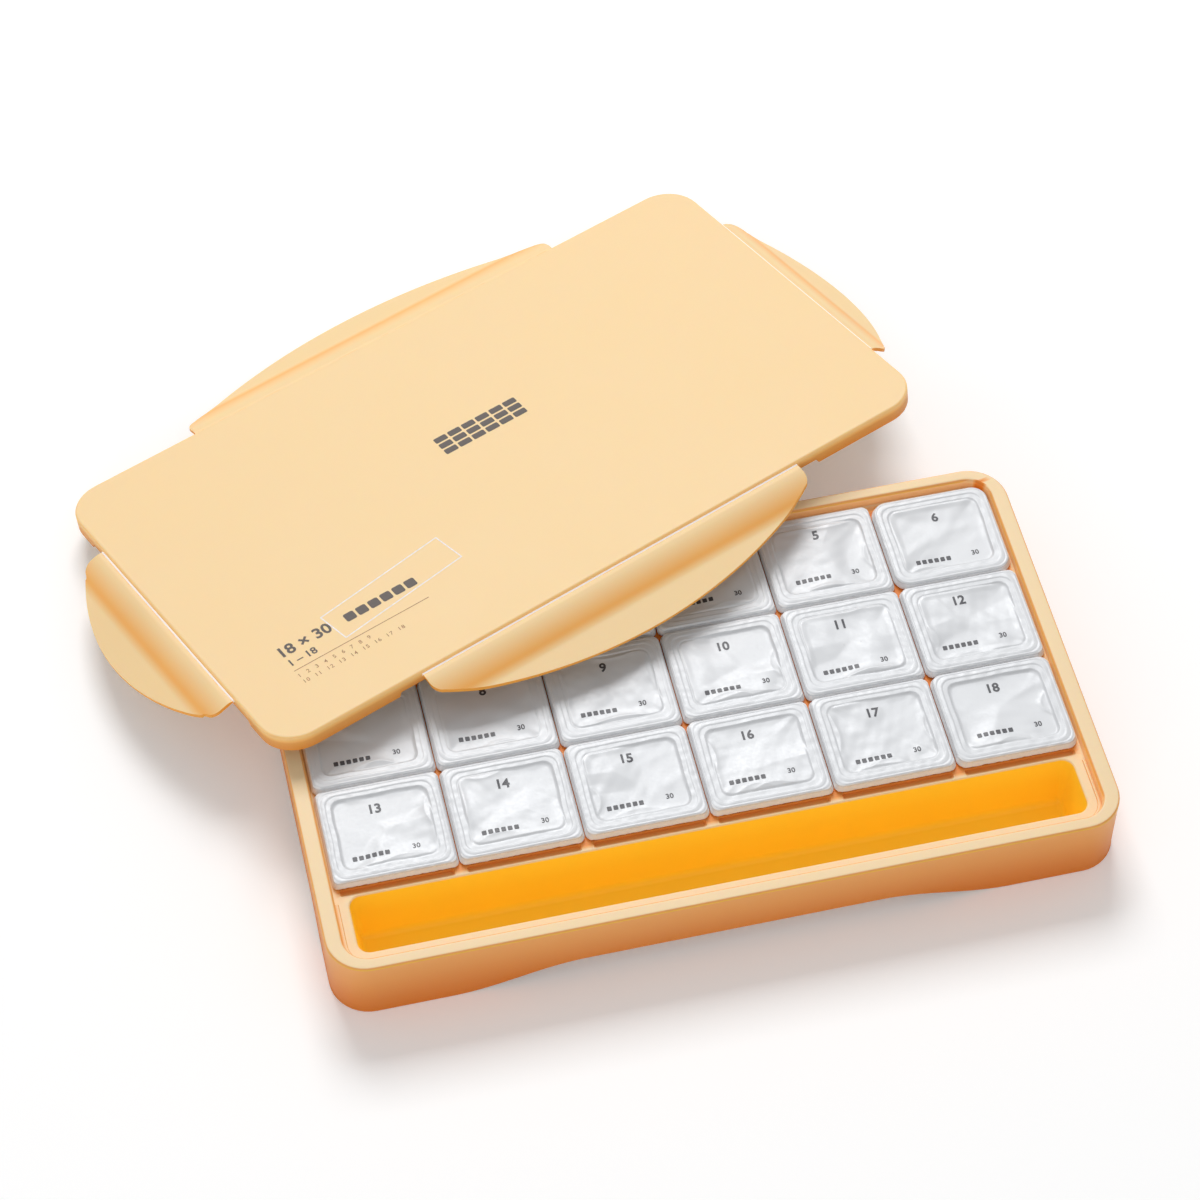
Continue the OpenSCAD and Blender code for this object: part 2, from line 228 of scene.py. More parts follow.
def outer_ring(inset, z):
    return ring(case_plan, grow(outer_size, -inset), CASE_CORNER - inset, z)


def well_ring(outset, z):
    return ring(case_plan, grow(well, outset), WELL_CORNER + outset, z)


rim_top = case_high.z
wall_rings = [well_ring(INNER_WALL, DECK - INNER_WALL), well_ring(INNER_WALL, rim_top - INNER_WALL),
              outer_ring(WALL, rim_top - INNER_WALL), outer_ring(WALL, under_edge + 0.3 * MM),
              outer_ring(WALL - 0.3 * MM, under_edge), outer_ring(0.45 * MM, under_edge),
              outer_ring(0.12 * MM, under_edge + 0.15 * MM), outer_ring(0, under_edge + 0.5 * MM)]
# The wall's face lies a little back between a thin lip along its lower edge and the rim's edge
FACE_BACK = 0.16 * MM
LOWER_LIP, FACE_FOOT = 1.6 * MM, 1.85 * MM
RIM_LIP, FACE_HEAD = 2.2 * MM, 2.6 * MM
FACE_STEPS = 4
face_low, face_high = under_edge + FACE_FOOT, rim_top - FACE_HEAD
wall_rings.append(outer_ring(0, under_edge + LOWER_LIP))
wall_rings += [outer_ring(FACE_BACK, face_low + (face_high - face_low) * k / FACE_STEPS)
               for k in range(FACE_STEPS + 1)]
wall_rings += [outer_ring(0, rim_top - RIM_LIP), outer_ring(0, rim_top - 1.3 * MM)]
wall_rings += [outer_ring(RIM_ROUND * (1 - c), rim_top - RIM_ROUND * (1 - s)) for c, s in quarter_arc(5)]
wall_rings += [well_ring(RIM_INNER_ROUND * (1 - s), rim_top - RIM_INNER_ROUND * (1 - c))
               for c, s in quarter_arc(5)]
# A small hollow round where the well's wall meets the deck
wall_rings += [well_ring(outset, z) for outset, z in (
    (0, DECK + 0.5 * MM), (-0.14 * MM, DECK + 0.12 * MM), (-0.5 * MM, DECK))]
case_parts = [skin(wall_rings)]

# Pockets, as many as there are cups, each with a small round on its mouth
cup_count = sum(name.startswith("cup_") for name in frame["nodes"])
cup_boxes = [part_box(f"cup_{i:02d}") for i in range(1, cup_count + 1)]
cup_centres = [((a.x + b.x) / 2, (a.y + b.y) / 2) for a, b in cup_boxes]
POCKET = (44.5 * MM, 39.5 * MM)
POCKET_CORNER = 4.5 * MM
pocket_plan = ring_plan(even(2), even(2), 6)
deck_holes = []
for centre in cup_centres:
    pocket_rings = [ring(pocket_plan, grow(POCKET, g), POCKET_CORNER + g, z, centre) for g, z in (
        (0.3 * MM, DECK), (0.09 * MM, DECK - 0.09 * MM), (0, DECK - 0.3 * MM), (0, FLOOR + 0.8 * MM),
        (-0.23 * MM, FLOOR + 0.23 * MM), (-0.8 * MM, FLOOR))]
    deck_holes.append(pocket_rings[0])
    case_parts.append(skin(pocket_rings, close_last=True))

# Trough: leaning sides, a round along the mouth and a larger one along the floor
FRONT_LEDGE = 5 * MM
END_LEDGE = 5.2 * MM
TROUGH_DEPTH = 23.8 * MM
TROUGH_CORNER = 4.5 * MM
DRAFT = 3 * MM
trough_size = (well[0] - 2 * END_LEDGE, TROUGH_DEPTH)
trough_centre = (0, -well[1] / 2 + FRONT_LEDGE + TROUGH_DEPTH / 2)
trough_plan = ring_plan(even(33), even(5), 10)


def trough_ring(outset, z):
    corner = max(TROUGH_CORNER + outset, 0.8 * MM)
    return ring(trough_plan, grow(trough_size, outset), corner, z, trough_centre)


MOUTH_ROUND = 0.8 * MM
BED_ROUND = 2.6 * MM
trough_rings = [trough_ring(MOUTH_ROUND * (1 - s), DECK - MOUTH_ROUND * (1 - c)) for c, s in quarter_arc(5)]
bed_in = -DRAFT * (DECK - MOUTH_ROUND - FLOOR - BED_ROUND) / (DECK - FLOOR)
trough_rings += [trough_ring(bed_in - BED_ROUND * (1 - c), FLOOR + BED_ROUND * (1 - s))
                 for c, s in quarter_arc(6)]
deck_holes.append(trough_rings[0])
case_parts.append(skin(trough_rings, close_last=True))

# Shallow recesses in the strip behind the trough, one for each column of cups
cup_pitch = cup_centres[1][0] - cup_centres[0][0]
front_row = min(y for x, y in cup_centres)
grid_front = min(a.y for a, b in cup_boxes) - 0.2 * MM
trough_back = trough_centre[1] + TROUGH_DEPTH / 2
RECESS_LIP = 0.8 * MM
RECESS_GAP = 4.5 * MM
BED_BACK = 0.45
recess_size = (cup_pitch - RECESS_GAP, grid_front - trough_back - RECESS_LIP)
recess_centre_y = trough_back + RECESS_LIP + recess_size[1] / 2
for x, y in cup_centres:
    if y == front_row:
        # Its bed lies at the back, under the cup's edge, and its front slopes up to the lip
        recess_rings = [
            ring(pocket_plan, (recess_size[0] - 2 * side, recess_size[1] * share), corner, DECK - deep,
                 (x, recess_centre_y + recess_size[1] * (1 - share) * BED_BACK))
            for side, share, corner, deep in (
                (0, 1.0, 0.9 * MM, 0), (0.1 * MM, 0.92, 0.8 * MM, 0.3 * MM),
                (0.8 * MM, 0.5, 0.5 * MM, 1.1 * MM))]
        deck_holes.append(recess_rings[0])
        case_parts.append(skin(recess_rings, close_last=True))
case_parts.append(sheet_with_holes(wall_rings[-1], deck_holes, DECK))

# Underside: the pocket block and the trough stand on the table below the deck
grid_back = well[1] / 2
block_size = (well[0], grid_back - grid_front + INNER_WALL)
block_centre = (0, grid_back - block_size[1] / 2)
block_plan = ring_plan(even(9), even(5), 5)
FOOT_ROUND = 0.5 * MM
under_holes = []
for plan, size, radius, centre, low_in in (
        (block_plan, block_size, INNER_WALL, block_centre, 0),
        (trough_plan, grow(trough_size, INNER_WALL), TROUGH_CORNER + INNER_WALL, trough_centre, DRAFT)):
    foot_rings = [ring(plan, grow(size, g), radius + g, z, centre) for g, z in (
        (0, DECK - INNER_WALL), (-low_in, FOOT_ROUND), (-low_in - FOOT_ROUND, 0))]
    under_holes.append(foot_rings[0])
    case_parts.append(skin(foot_rings, close_last=True))
case_parts.append(sheet_with_holes(wall_rings[0], under_holes, DECK - INNER_WALL))
case = piece("case_moulding", case_parts)
even_shading(case)

# Raised edge of the deck round the front and the ends of the trough: a thin U-shaped step
STEP = 0.35 * MM
STEP_WIDTH = 1.6 * MM
STEP_FOOT = DECK - 0.1 * MM
step_rings = [well_ring(outset, z) for outset, z in (
    (-0.02 * MM, STEP_FOOT), (-0.02 * MM, DECK + STEP), (0.45 * MM - STEP_WIDTH, DECK + STEP),
    (0.3 * MM - STEP_WIDTH, DECK + STEP * 0.9), (-STEP_WIDTH, STEP_FOOT))]
step_vertices, step_faces = skin(step_rings + step_rings[:1])
step_faces = [f for f in step_faces if step_vertices[list(f), 1].max() < trough_back]
deck_step = piece("case_deck_step", [(step_vertices, step_faces)])


def linear(hex_colour):
    """An sRGB hex colour as the linear RGBA that the shader nodes take."""
    values = [int(hex_colour[i:i + 2], 16) / 255 for i in (1, 3, 5)]
    return [v / 12.92 if v <= 0.04045 else ((v + 0.055) / 1.055) ** 2.4 for v in values] + [1.0]


def add_node(tree, kind, settings=None, **links):
    """A node with its settings; each link names an input and gives a socket or a plain value."""
    made = tree.nodes.new(kind)
    for key, value in (settings or {}).items():
        setattr(made, key, value)
    for key, value in links.items():
        name = key.replace("_", " ")
        socket = made.inputs[int(key[1:])] if key[0] == "i" and key[1:].isdigit() else made.inputs[name]
        if isinstance(value, bpy.types.NodeSocket):
            tree.links.new(value, socket)
        else:
            socket.default_value = value
    return made


def blank_material(name):
    made = bpy.data.materials.new(name)
    made.use_nodes = True
    made.node_tree.nodes.clear()
    return made, made.node_tree


# Injection-moulded polypropylene is satin and waxy, with no sharp highlights. Its steep sides carry painted
# shade, a deeper colour than its open faces
PAINTED_SIDE_SHADE, PAINTED_DEEP_SHADE = 0.35, 0.6


def moulded_polypropylene(name, open_tone, side_shade_colour, deep_shade_colour, painted_hollow_colour):
    """The plastic's colour follows the mesh attribute "tone", which is painted shade: 0 for an open face,
    PAINTED_SIDE_SHADE for a side and PAINTED_DEEP_SHADE low down on one. "hollow" mixes in the painted light
    of a lit hollow, and "glow" is a faint painted glow that stands in for light coming through thin walls."""
    made, tree = blank_material(name)
    tone = add_node(tree, "ShaderNodeAttribute", {"attribute_name": "tone"})
    ramp = add_node(tree, "ShaderNodeValToRGB", Fac=tone.outputs["Fac"])
    stops = ramp.color_ramp.elements
    stops[1].position = PAINTED_DEEP_SHADE
    stops[0].color, stops[1].color = linear(open_tone), linear(deep_shade_colour)
    stops.new(PAINTED_SIDE_SHADE).color = linear(side_shade_colour)
    # Painted light of a lit hollow, mixed into the colour
    hollow = add_node(tree, "ShaderNodeAttribute", {"attribute_name": "hollow"})
    colour = add_node(tree, "ShaderNodeMix", {"data_type": "RGBA"}, i0=hollow.outputs["Fac"],
                      i6=ramp.outputs["Color"], i7=linear(painted_hollow_colour)).outputs[2]
    # Flow marks of the moulding: a cloudy change of tone, about 40 mm across
    place = add_node(tree, "ShaderNodeTexCoord")
    clouds = add_node(tree, "ShaderNodeTexNoise", Vector=place.outputs["Object"], Scale=25.0, Detail=2.0)
    flow = add_node(tree, "ShaderNodeMapRange", Value=clouds.outputs["Fac"], From_Min=0.3, From_Max=0.7,
                    To_Min=0.985, To_Max=1.01)
    toned = add_node(tree, "ShaderNodeVectorMath", {"operation": "SCALE"}, i0=colour, Scale=flow.outputs[0])
    # Fine satin grain of the mould, 0.5 mm, drawn a little coarser than the real one so that it shows
    grain = add_node(tree, "ShaderNodeTexNoise", Vector=place.outputs["Object"], Scale=2000.0, Detail=1.0)
    bump = add_node(tree, "ShaderNodeBump", Strength=0.06, Distance=0.00004, Height=grain.outputs["Fac"])
    gloss = add_node(tree, "ShaderNodeMapRange", Value=clouds.outputs["Fac"], From_Min=0.3, From_Max=0.7,
                     To_Min=0.44, To_Max=0.50)
    # Painted glow: an emission that stands in for light coming through thin walls
    glow = add_node(tree, "ShaderNodeAttribute", {"attribute_name": "glow"})
    surface = add_node(tree, "ShaderNodeBsdfPrincipled", Base_Color=toned.outputs[0],
                       Roughness=gloss.outputs[0], Emission_Color=colour,
                       Emission_Strength=glow.outputs["Fac"], Normal=bump.outputs["Normal"], IOR=1.49,
                       Specular_IOR_Level=0.4, Subsurface_Weight=0.15, Subsurface_Scale=3 * MM,
                       Subsurface_Radius=(1.0, 0.45, 0.12))
    add_node(tree, "ShaderNodeOutputMaterial", Surface=surface.outputs[0])
    return made


# A face counts as open up to this lean, and its painted shade grows so fast from there
LEVEL = 0.045
STEEP = 7.5


def read_points(mesh, kind="co"):
    """The places of a mesh's vertices, or their normals, one row each."""
    values = np.empty(len(mesh.vertices) * 3)
    mesh.vertices.foreach_get(kind, values)
    return values.reshape(-1, 3)


def store_tone(made, up, change=None):
    """Store each vertex's painted shade by how steep its face is against up, with painted light and shade by
    place after it.
    """
    lean = 1 - np.abs(read_points(made.data, "normal") @ np.array(up))
    tone = PAINTED_SIDE_SHADE * np.clip(STEEP * (lean - LEVEL), 0, 1)
    hollow, glow = np.zeros(len(tone)), np.zeros(len(tone))
    if change is not None:
        tone, hollow, glow = change(read_points(made.data), tone)
    for name, values in (("tone", tone), ("hollow", hollow), ("glow", glow)):
        attribute = made.data.attributes.new(name, "FLOAT", "POINT")
        attribute.data.foreach_set("value", values.astype(np.float32))


# Strengths of painted glow, and shares of painted light and shade, on the case
HOLLOW_PAINTED_GLOW, WALL_PAINTED_GLOW = 0.11, 0.12
WELL_SHADE_SHARE = 0.62
UNDER_RIM_PAINTED_LIGHT = 0.55
POCKET_PAINTED_LIGHT = 0.75


def case_tone(p, tone):
    """Painted light and shade on the case: painted shade on the outer walls that deepens downwards, and a
    painted yellow line of light under the rim. The well's own walls get less painted shade, the recesses get
    painted shade that deepens away from the trough, and the trough and the pockets take on the painted light
    of a lit hollow. The well's walls and the hollows get a faint painted glow."""
    x, y, z = np.abs(p[:, 0]), p[:, 1], p[:, 2]
    half_x, half_y = well[0] / 2, well[1] / 2
    in_well = (x < half_x + 0.05 * MM) & (np.abs(y) < half_y + 0.05 * MM)
    # Painted shade that deepens down the outer walls; the well's walls get a smaller share of it
    low = np.clip((rim_top - 3 * MM - z) / (22 * MM), 0, 1)
    shade_lower_down = np.where(tone > 0.3, (PAINTED_DEEP_SHADE - PAINTED_SIDE_SHADE) * low, 0)
    tone = np.where(in_well, tone * WELL_SHADE_SHARE, tone + shade_lower_down)
    sunk, over = DECK - z, MOUTH_ROUND + 0.05 * MM
    above_floor = z > FLOOR * 0.99
    in_trough = (above_floor & (x < trough_size[0] / 2 + over)
                 & (np.abs(y - trough_centre[1]) < trough_size[1] / 2 + over))
    between_ends = x < half_x - 1 * MM
    in_pocket = above_floor & between_ends & (y > grid_front + 0.5 * MM) & (y < half_y - 1 * MM)
    in_recess = ((y > trough_back + RECESS_LIP - 0.05 * MM) & (y < grid_front + 0.05 * MM) & between_ends
                 & (sunk > -0.05 * MM) & (sunk < 1.3 * MM))
    # Painted shade in the recesses, deepest away from the trough's lip
    shade_from_lip = np.clip((y - trough_back - RECESS_LIP) / (2.2 * MM), 0.1, 0.85)
    tone = np.select([in_trough, in_recess, in_pocket], [0, PAINTED_DEEP_SHADE * shade_from_lip, PAINTED_DEEP_SHADE], tone)
    below_mouth = sunk - 0.3 * MM
    hollow = np.select([in_trough, in_pocket], [np.clip(below_mouth / (0.35 * MM), 0, 1),
                                                POCKET_PAINTED_LIGHT * np.clip(below_mouth / (4 * MM), 0, 1)], 0)
    # A faint painted glow on the well's walls and in the hollows
    well_wall = in_well & (sunk < -0.3 * MM) & (z < rim_top - 0.6 * MM)
    glow = np.where(well_wall, WALL_PAINTED_GLOW, HOLLOW_PAINTED_GLOW * hollow)
    # A painted line of light just under the rim
    painted_line_under_rim = ~in_well & (z > rim_top - 0.95 * MM) & (z < rim_top - 0.5 * MM)
    return tone, np.where(painted_line_under_rim, UNDER_RIM_PAINTED_LIGHT, hollow), glow


# The case's own colour on open faces, painted shade on its sides and low down, and painted light in its
# hollows
case_plastic = moulded_polypropylene("case polypropylene with painted light and shade", "#FEDFB1", "#FBAE60", "#EC8428", "#FFD034")
for part, change in ((case, case_tone), (deck_step, None)):
    store_tone(part, (0, 0, 1), change)
    part.data.materials.append(case_plastic)
    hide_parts("case")
    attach(part, "case")

# ---- Lid ----
# The lid is a second moulding of the same plastic: a flat panel with a low skirt that stands on the
# case's rim when it is shut. The skirt is cut away a little behind each flap.

joints = {joint["name"]: joint for joint in frame["joints"]}
hinge_at = {side: Vector(joints[f"flap_{side}_fold"]["pos_m"]) for side in ("front", "rear", "left", "right")}
lid_x = (hinge_at["right"] - hinge_at["left"]).normalized()
lid_y = (hinge_at["rear"] - hinge_at["front"]).normalized()
lid_z = lid_x.cross(lid_y).normalized()
lid_centre = (hinge_at["front"] + hinge_at["rear"]) / 2
lid_place = Matrix.Translation(lid_centre) @ Matrix((lid_x, lid_y, lid_z)).transposed().to_4x4()
HINGE_OUT = 0.3 * MM
hinge_x = (hinge_at["right"] - hinge_at["left"]).length / 2
hinge_y = (hinge_at["rear"] - hinge_at["front"]).length / 2
lid_size = (2 * (hinge_x - HINGE_OUT), 2 * (hinge_y - HINGE_OUT))
LID_CORNER = CASE_CORNER
LID_TOP = 1.7 * MM
PANEL = 1.8 * MM
SKIRT_LOW = -5.3 * MM
SKIRT = 1.8 * MM
NOTCH = 2 * MM
LONG_FLAP_HALF = 86 * MM
SHORT_FLAP_HALF = 51 * MM
NOTCH_OVER = 10 * MM
EDGE_ROUND = 0.9 * MM


def stops_near(at, half, count):
    """Even stops with extra ones close around a place on either side of the middle."""
    close = (-0.6 * MM, -0.2 * MM, 0.2 * MM, 0.6 * MM)
    extra = [sign * (at + by) / half for by in close for sign in (-1, 1)]
    return np.array(sorted(set(even(count)) | set(extra)))


notch_x = LONG_FLAP_HALF + NOTCH_OVER
notch_y = SHORT_FLAP_HALF + NOTCH_OVER
lid_plan = ring_plan(stops_near(notch_x, lid_size[0] / 2 - LID_CORNER, 41),
                     stops_near(notch_y, lid_size[1] / 2 - LID_CORNER, 25), 12)


def lid_ring(inset, z):
    return ring(lid_plan, grow(lid_size, -inset), max(LID_CORNER - inset, 1 * MM), z)


lid_outline = lid_ring(0, 0)
on_long_side = np.abs(lid_outline[:, 1]) > lid_size[1] / 2 - 0.1 * MM
past_notch = np.where(on_long_side, np.abs(lid_outline[:, 0]) - notch_x, np.abs(lid_outline[:, 1]) - notch_y)
skirt_edge = SKIRT_LOW + NOTCH * np.clip(0.5 - past_notch / (0.8 * MM), 0, 1)
lid_rings = [lid_ring(12 * MM, LID_TOP), lid_ring(3 * MM, LID_TOP)]
lid_rings += [lid_ring(EDGE_ROUND * (1 - s), LID_TOP - EDGE_ROUND * (1 - c)) for c, s in quarter_arc(5)]
under_panel = LID_TOP - PANEL
lid_rings += [lid_ring(inset, z) for inset, z in (
    (0, -1.5 * MM), (0, skirt_edge + 0.4 * MM), (0.1 * MM, skirt_edge + 0.1 * MM), (0.4 * MM, skirt_edge),
    (SKIRT - 0.3 * MM, skirt_edge), (SKIRT, skirt_edge + 0.3 * MM), (SKIRT, under_panel - 0.8 * MM),
    (SKIRT + 0.25 * MM, under_panel - 0.25 * MM), (SKIRT + 0.8 * MM, under_panel))]
lid = piece("lid_moulding", [skin(lid_rings, close_first=True, close_last=True)], lid_place)
even_shading(lid)
# A painted glow and painted highlight along the skirt's upper edge
EDGE_PAINTED_GLOW = 0.12
EDGE_SHADE_SHARE = 0.55


def lid_tone(p, tone):
    """Painted light and shade on the skirt: a paler upper edge with a faint painted glow, as a painted
    highlight, and painted shade deepening to its foot.
    """
    height = (p - np.array(lid_centre)) @ np.array(lid_z)
    shade_lower_down = 0.25 * np.clip(-height / (3 * MM), 0, 1) * (tone > 0.3)
    tone = np.where(height > 0.7 * MM, tone * EDGE_SHADE_SHARE, tone + shade_lower_down)
    return tone, np.zeros(len(p)), np.where((height > 0.5 * MM) & (tone > 0.1), EDGE_PAINTED_GLOW, 0)


store_tone(lid, lid_z, lid_tone)
# The lid's own colour on open faces and painted shade on its skirt
lid_plastic = moulded_polypropylene("lid polypropylene with painted light and shade", "#F9D69F", "#FBC06A", "#F0983A", "#F6B04A")
lid.data.materials.append(lid_plastic)
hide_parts("lid")
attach(lid, "lid")

# ---- Print on the lid ----
# Flat pad print in three inks: a chart of the cups in the middle, and at the left numbers, a rule and
# a thin pale frame that leans a little. It holds numbers and squares only.

INK = 0.03 * MM


def printed_ink(name, colour, gloss=0.5):
    """Pad-printed ink: an even thin film with a soft gloss, slightly rubbed in patches of 1 to 2 mm."""
    made, tree = blank_material(name)
    place = add_node(tree, "ShaderNodeTexCoord")
    rubbed = add_node(tree, "ShaderNodeTexNoise", Vector=place.outputs["Object"], Scale=700.0, Detail=2.0)
    tone = add_node(tree, "ShaderNodeMapRange", Value=rubbed.outputs["Fac"], From_Min=0.35, From_Max=0.7,
                    To_Min=0.94, To_Max=1.12)
    ink = add_node(tree, "ShaderNodeVectorMath", {"operation": "SCALE"}, i0=linear(colour)[:3],
                   Scale=tone.outputs[0])
    surface = add_node(tree, "ShaderNodeBsdfPrincipled", Base_Color=ink.outputs[0], Roughness=gloss, IOR=1.5)
    add_node(tree, "ShaderNodeOutputMaterial", Surface=surface.outputs[0])
    return made


def numerals(words, tall, left, foot, bold=0.0, spread=1.0):
    """Vertices and faces of a row of numerals, as a closed film, by its height, left end and foot."""
    curve = bpy.data.curves.new("numerals", "FONT")
    curve.body, curve.size, curve.resolution_u = words, 1.0, 3
    curve.offset, curve.extrude, curve.space_character = bold, 0.01, spread
    made = placed("numerals", curve)
    mesh = finished_mesh(made)
    co = read_points(mesh)
    size = tall / np.ptp(co[:, 1])
    flat = (co[:, :2] - co[:, :2].min(axis=0)) * size + (left, foot)
    film = np.column_stack((flat, np.where(co[:, 2] > 0, INK, 0)))
    faces = [tuple(face.vertices) for face in mesh.polygons]
    bpy.data.objects.remove(made)
    return film, faces


def chart_tree():
    """Geometry Nodes: rows and columns of small rounded squares, each a closed film of ink."""
    tree = bpy.data.node_groups.new("printed chart", "GeometryNodeTree")
    inputs = {}
    for name, kind, value in (("Columns", "Int", 6), ("Rows", "Int", 3), ("Pitch X", "Float", 6 * MM),
                              ("Pitch Y", "Float", 5 * MM), ("Square X", "Float", 5 * MM),
                              ("Square Y", "Float", 4 * MM), ("Corner", "Float", 1 * MM),
                              ("Film", "Float", INK), ("Ink", "Material", None)):
        socket = tree.interface.new_socket(name, in_out="INPUT", socket_type="NodeSocket" + kind)
        if value is not None:
            socket.default_value = value
        inputs[name] = socket.identifier
    tree.interface.new_socket("Chart", in_out="OUTPUT", socket_type="NodeSocketGeometry")
    given = add_node(tree, "NodeGroupInput").outputs
    spans = []
    for count, pitch in (("Columns", "Pitch X"), ("Rows", "Pitch Y")):
        gaps = add_node(tree, "ShaderNodeMath", {"operation": "SUBTRACT"}, i0=given[count], i1=1.0)
        spans.append(add_node(tree, "ShaderNodeMath", {"operation": "MULTIPLY"}, i0=gaps.outputs[0],
                              i1=given[pitch]).outputs[0])
    places = add_node(tree, "GeometryNodeMeshGrid", Size_X=spans[0], Size_Y=spans[1],
                      Vertices_X=given["Columns"], Vertices_Y=given["Rows"])
    outline = add_node(tree, "GeometryNodeCurvePrimitiveQuadrilateral", Width=given["Square X"],
                       Height=given["Square Y"])
    rounded = add_node(tree, "GeometryNodeFilletCurve", {"mode": "POLY"}, Curve=outline.outputs[0], Count=4,
                       Radius=given["Corner"])
    flat = add_node(tree, "GeometryNodeFillCurve", {"mode": "NGONS"}, Curve=rounded.outputs[0])
    raised = add_node(tree, "GeometryNodeExtrudeMesh", {"mode": "FACES"}, Mesh=flat.outputs[0],
                      Offset_Scale=given["Film"])
    under = add_node(tree, "GeometryNodeFlipFaces", Mesh=flat.outputs[0])
    both = add_node(tree, "GeometryNodeJoinGeometry")
    tree.links.new(raised.outputs[0], both.inputs[0])
    tree.links.new(under.outputs[0], both.inputs[0])
    square = add_node(tree, "GeometryNodeMergeByDistance", Geometry=both.outputs[0], Distance=1e-6)
    copies = add_node(tree, "GeometryNodeInstanceOnPoints", Points=places.outputs[0],
                      Instance=square.outputs[0])
    real = add_node(tree, "GeometryNodeRealizeInstances", Geometry=copies.outputs[0])
    inked = add_node(tree, "GeometryNodeSetMaterial", Geometry=real.outputs[0], Material=given["Ink"])
    add_node(tree, "NodeGroupOutput", Chart=inked.outputs[0])
    return tree, inputs


chart_nodes, chart_inputs = chart_tree()


def chart(name, ink, place=Matrix.Identity(4), **sizes):
    """A printed chart of squares as a plain mesh, set at its place."""
    made = placed(name, bpy.data.meshes.new(name))
    modifier = made.modifiers.new("chart", "NODES")
    modifier.node_group = chart_nodes
    for key, value in sizes.items():
        modifier[chart_inputs[key.replace("_", " ")]] = value
    modifier[chart_inputs["Ink"]] = ink
    settled(made)
    made.data.transform(place)
    return made


dark_ink = printed_ink("pad-printed dark brown ink", "#43362E")
fine_ink = printed_ink("pad-printed light brown ink", "#A5754A")
pale_ink = printed_ink("pad-printed pale ink", "#F3EAEA")
print_place = lid_place @ Matrix.Translation((0, 0, LID_TOP + 0.01 * MM))
print_plan = ring_plan(even(2), even(2), 4)


def bar(size, radius, centre, line=None):
    """A printed rounded bar, or only its outline of a given line width."""
    outer = [ring(print_plan, size, radius, z, centre) for z in (0, INK)]
    if line is None:
        return skin(outer, True, True)
    inner = [ring(print_plan, grow(size, -line), max(radius - line, 0.02 * MM), z, centre) for z in (INK, 0)]
    return skin(outer + inner + outer[:1])


def moved(parts, turn, centre):
    """The same part turned about its own origin and moved."""
    vertices, faces = parts
    c, s = math.cos(turn), math.sin(turn)
    flat = vertices[:, :2] @ np.array([[c, s], [-s, c]]) + np.array(centre)
    return np.column_stack((flat, vertices[:, 2])), faces


FRAME_LEAN = math.radians(7.9)
lid_prints = {
    "lid_print_numbers": (dark_ink, [
        numerals("18 × 30", 5.6 * MM, -122.3 * MM, -45.6 * MM, 0.025),
        numerals("1 – 18", 3.6 * MM, -122.0 * MM, -51.4 * MM, 0.02)]),
    "lid_print_fine": (fine_ink, [
        bar((59.7 * MM, 0.32 * MM), 0.1 * MM, (-93.1 * MM, -54.1 * MM)),
        numerals("1  2  3  4  5  6  7  8  9", 1.9 * MM, -122.6 * MM, -58.2 * MM, 0.004, 1.25),
        numerals("10  11  12  13  14  15  16  17  18", 1.9 * MM, -122.6 * MM, -61.9 * MM, 0.004, 1.2)]),
    "lid_print_frame": (pale_ink, [
        moved(bar((57.8 * MM, 15.8 * MM), 0.3 * MM, (0, 0), 0.5 * MM), FRAME_LEAN,
              (-71.4 * MM, -40.3 * MM))]),
}
for name, (ink, parts) in lid_prints.items():
    film = piece(name, parts, print_place, sharp=30, merge=1e-7)
    film.data.materials.append(ink)
    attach(film, "lid")
for name, centre, sizes in (
        ("lid_print_cup_chart", (3.5, 13.0), dict(Columns=6, Rows=3, Pitch_X=6.5 * MM, Pitch_Y=3.9 * MM,
                                                  Square_X=5.6 * MM, Square_Y=3.0 * MM, Corner=0.6 * MM)),
        ("lid_print_row", (-78.2, -43.2), dict(Columns=6, Rows=1, Pitch_X=5.4 * MM, Pitch_Y=5.4 * MM,
                                               Square_X=4.4 * MM, Square_Y=4.4 * MM, Corner=0.8 * MM))):
    place = print_place @ Matrix.Translation((centre[0] * MM, centre[1] * MM, 0))
    made = chart(name, dark_ink, place, **sizes)
    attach(made, "lid")

# ---- Flaps ----
# Four flaps fold over the case's wall and hold the lid shut. Each is moulded with the lid and joined
# to it by a living hinge, a film that has turned white from bending. It bows down to a soft crease
# and ends in a flat lip for the fingers.

FLAP_THICK = 1.5 * MM
LIP_THICK = 1 * MM
FLAP_END = 8 * MM
FLAP_CORNER = 5 * MM
ROOT_SLOPE = 0.14
CREASE_SOFT = 1.7 * MM
# The hinge's distance from the lid's middle, half the flap's length, then its reach and drop, and the
# reach and drop of its crease
LONG_FLAP = (hinge_y, LONG_FLAP_HALF, 27.7 * MM, 9.2 * MM, 14.5 * MM, 6.2 * MM)
SHORT_FLAP = (hinge_x, SHORT_FLAP_HALF, 24.4 * MM, 8.1 * MM, 12.8 * MM, 5.5 * MM)
# Each flap's turn about the lid's middle and its fold downwards as it lies, in degrees
flap_kinds = {"front": (180, LONG_FLAP, 0), "rear": (0, LONG_FLAP, -1.6),
              "left": (90, SHORT_FLAP, 0), "right": (-90, SHORT_FLAP, 17)}


def flap_profile(u, reach, drop, crease, crease_drop):
    """Height of the flap's middle surface at a reach u from the hinge."""
    bowed = -ROOT_SLOPE * u - (crease_drop - ROOT_SLOPE * crease) * (u / crease) ** 2
    straight = -crease_drop - (drop - crease_drop) * (u - crease) / (reach - crease)
    return np.where(u < crease, bowed, straight)


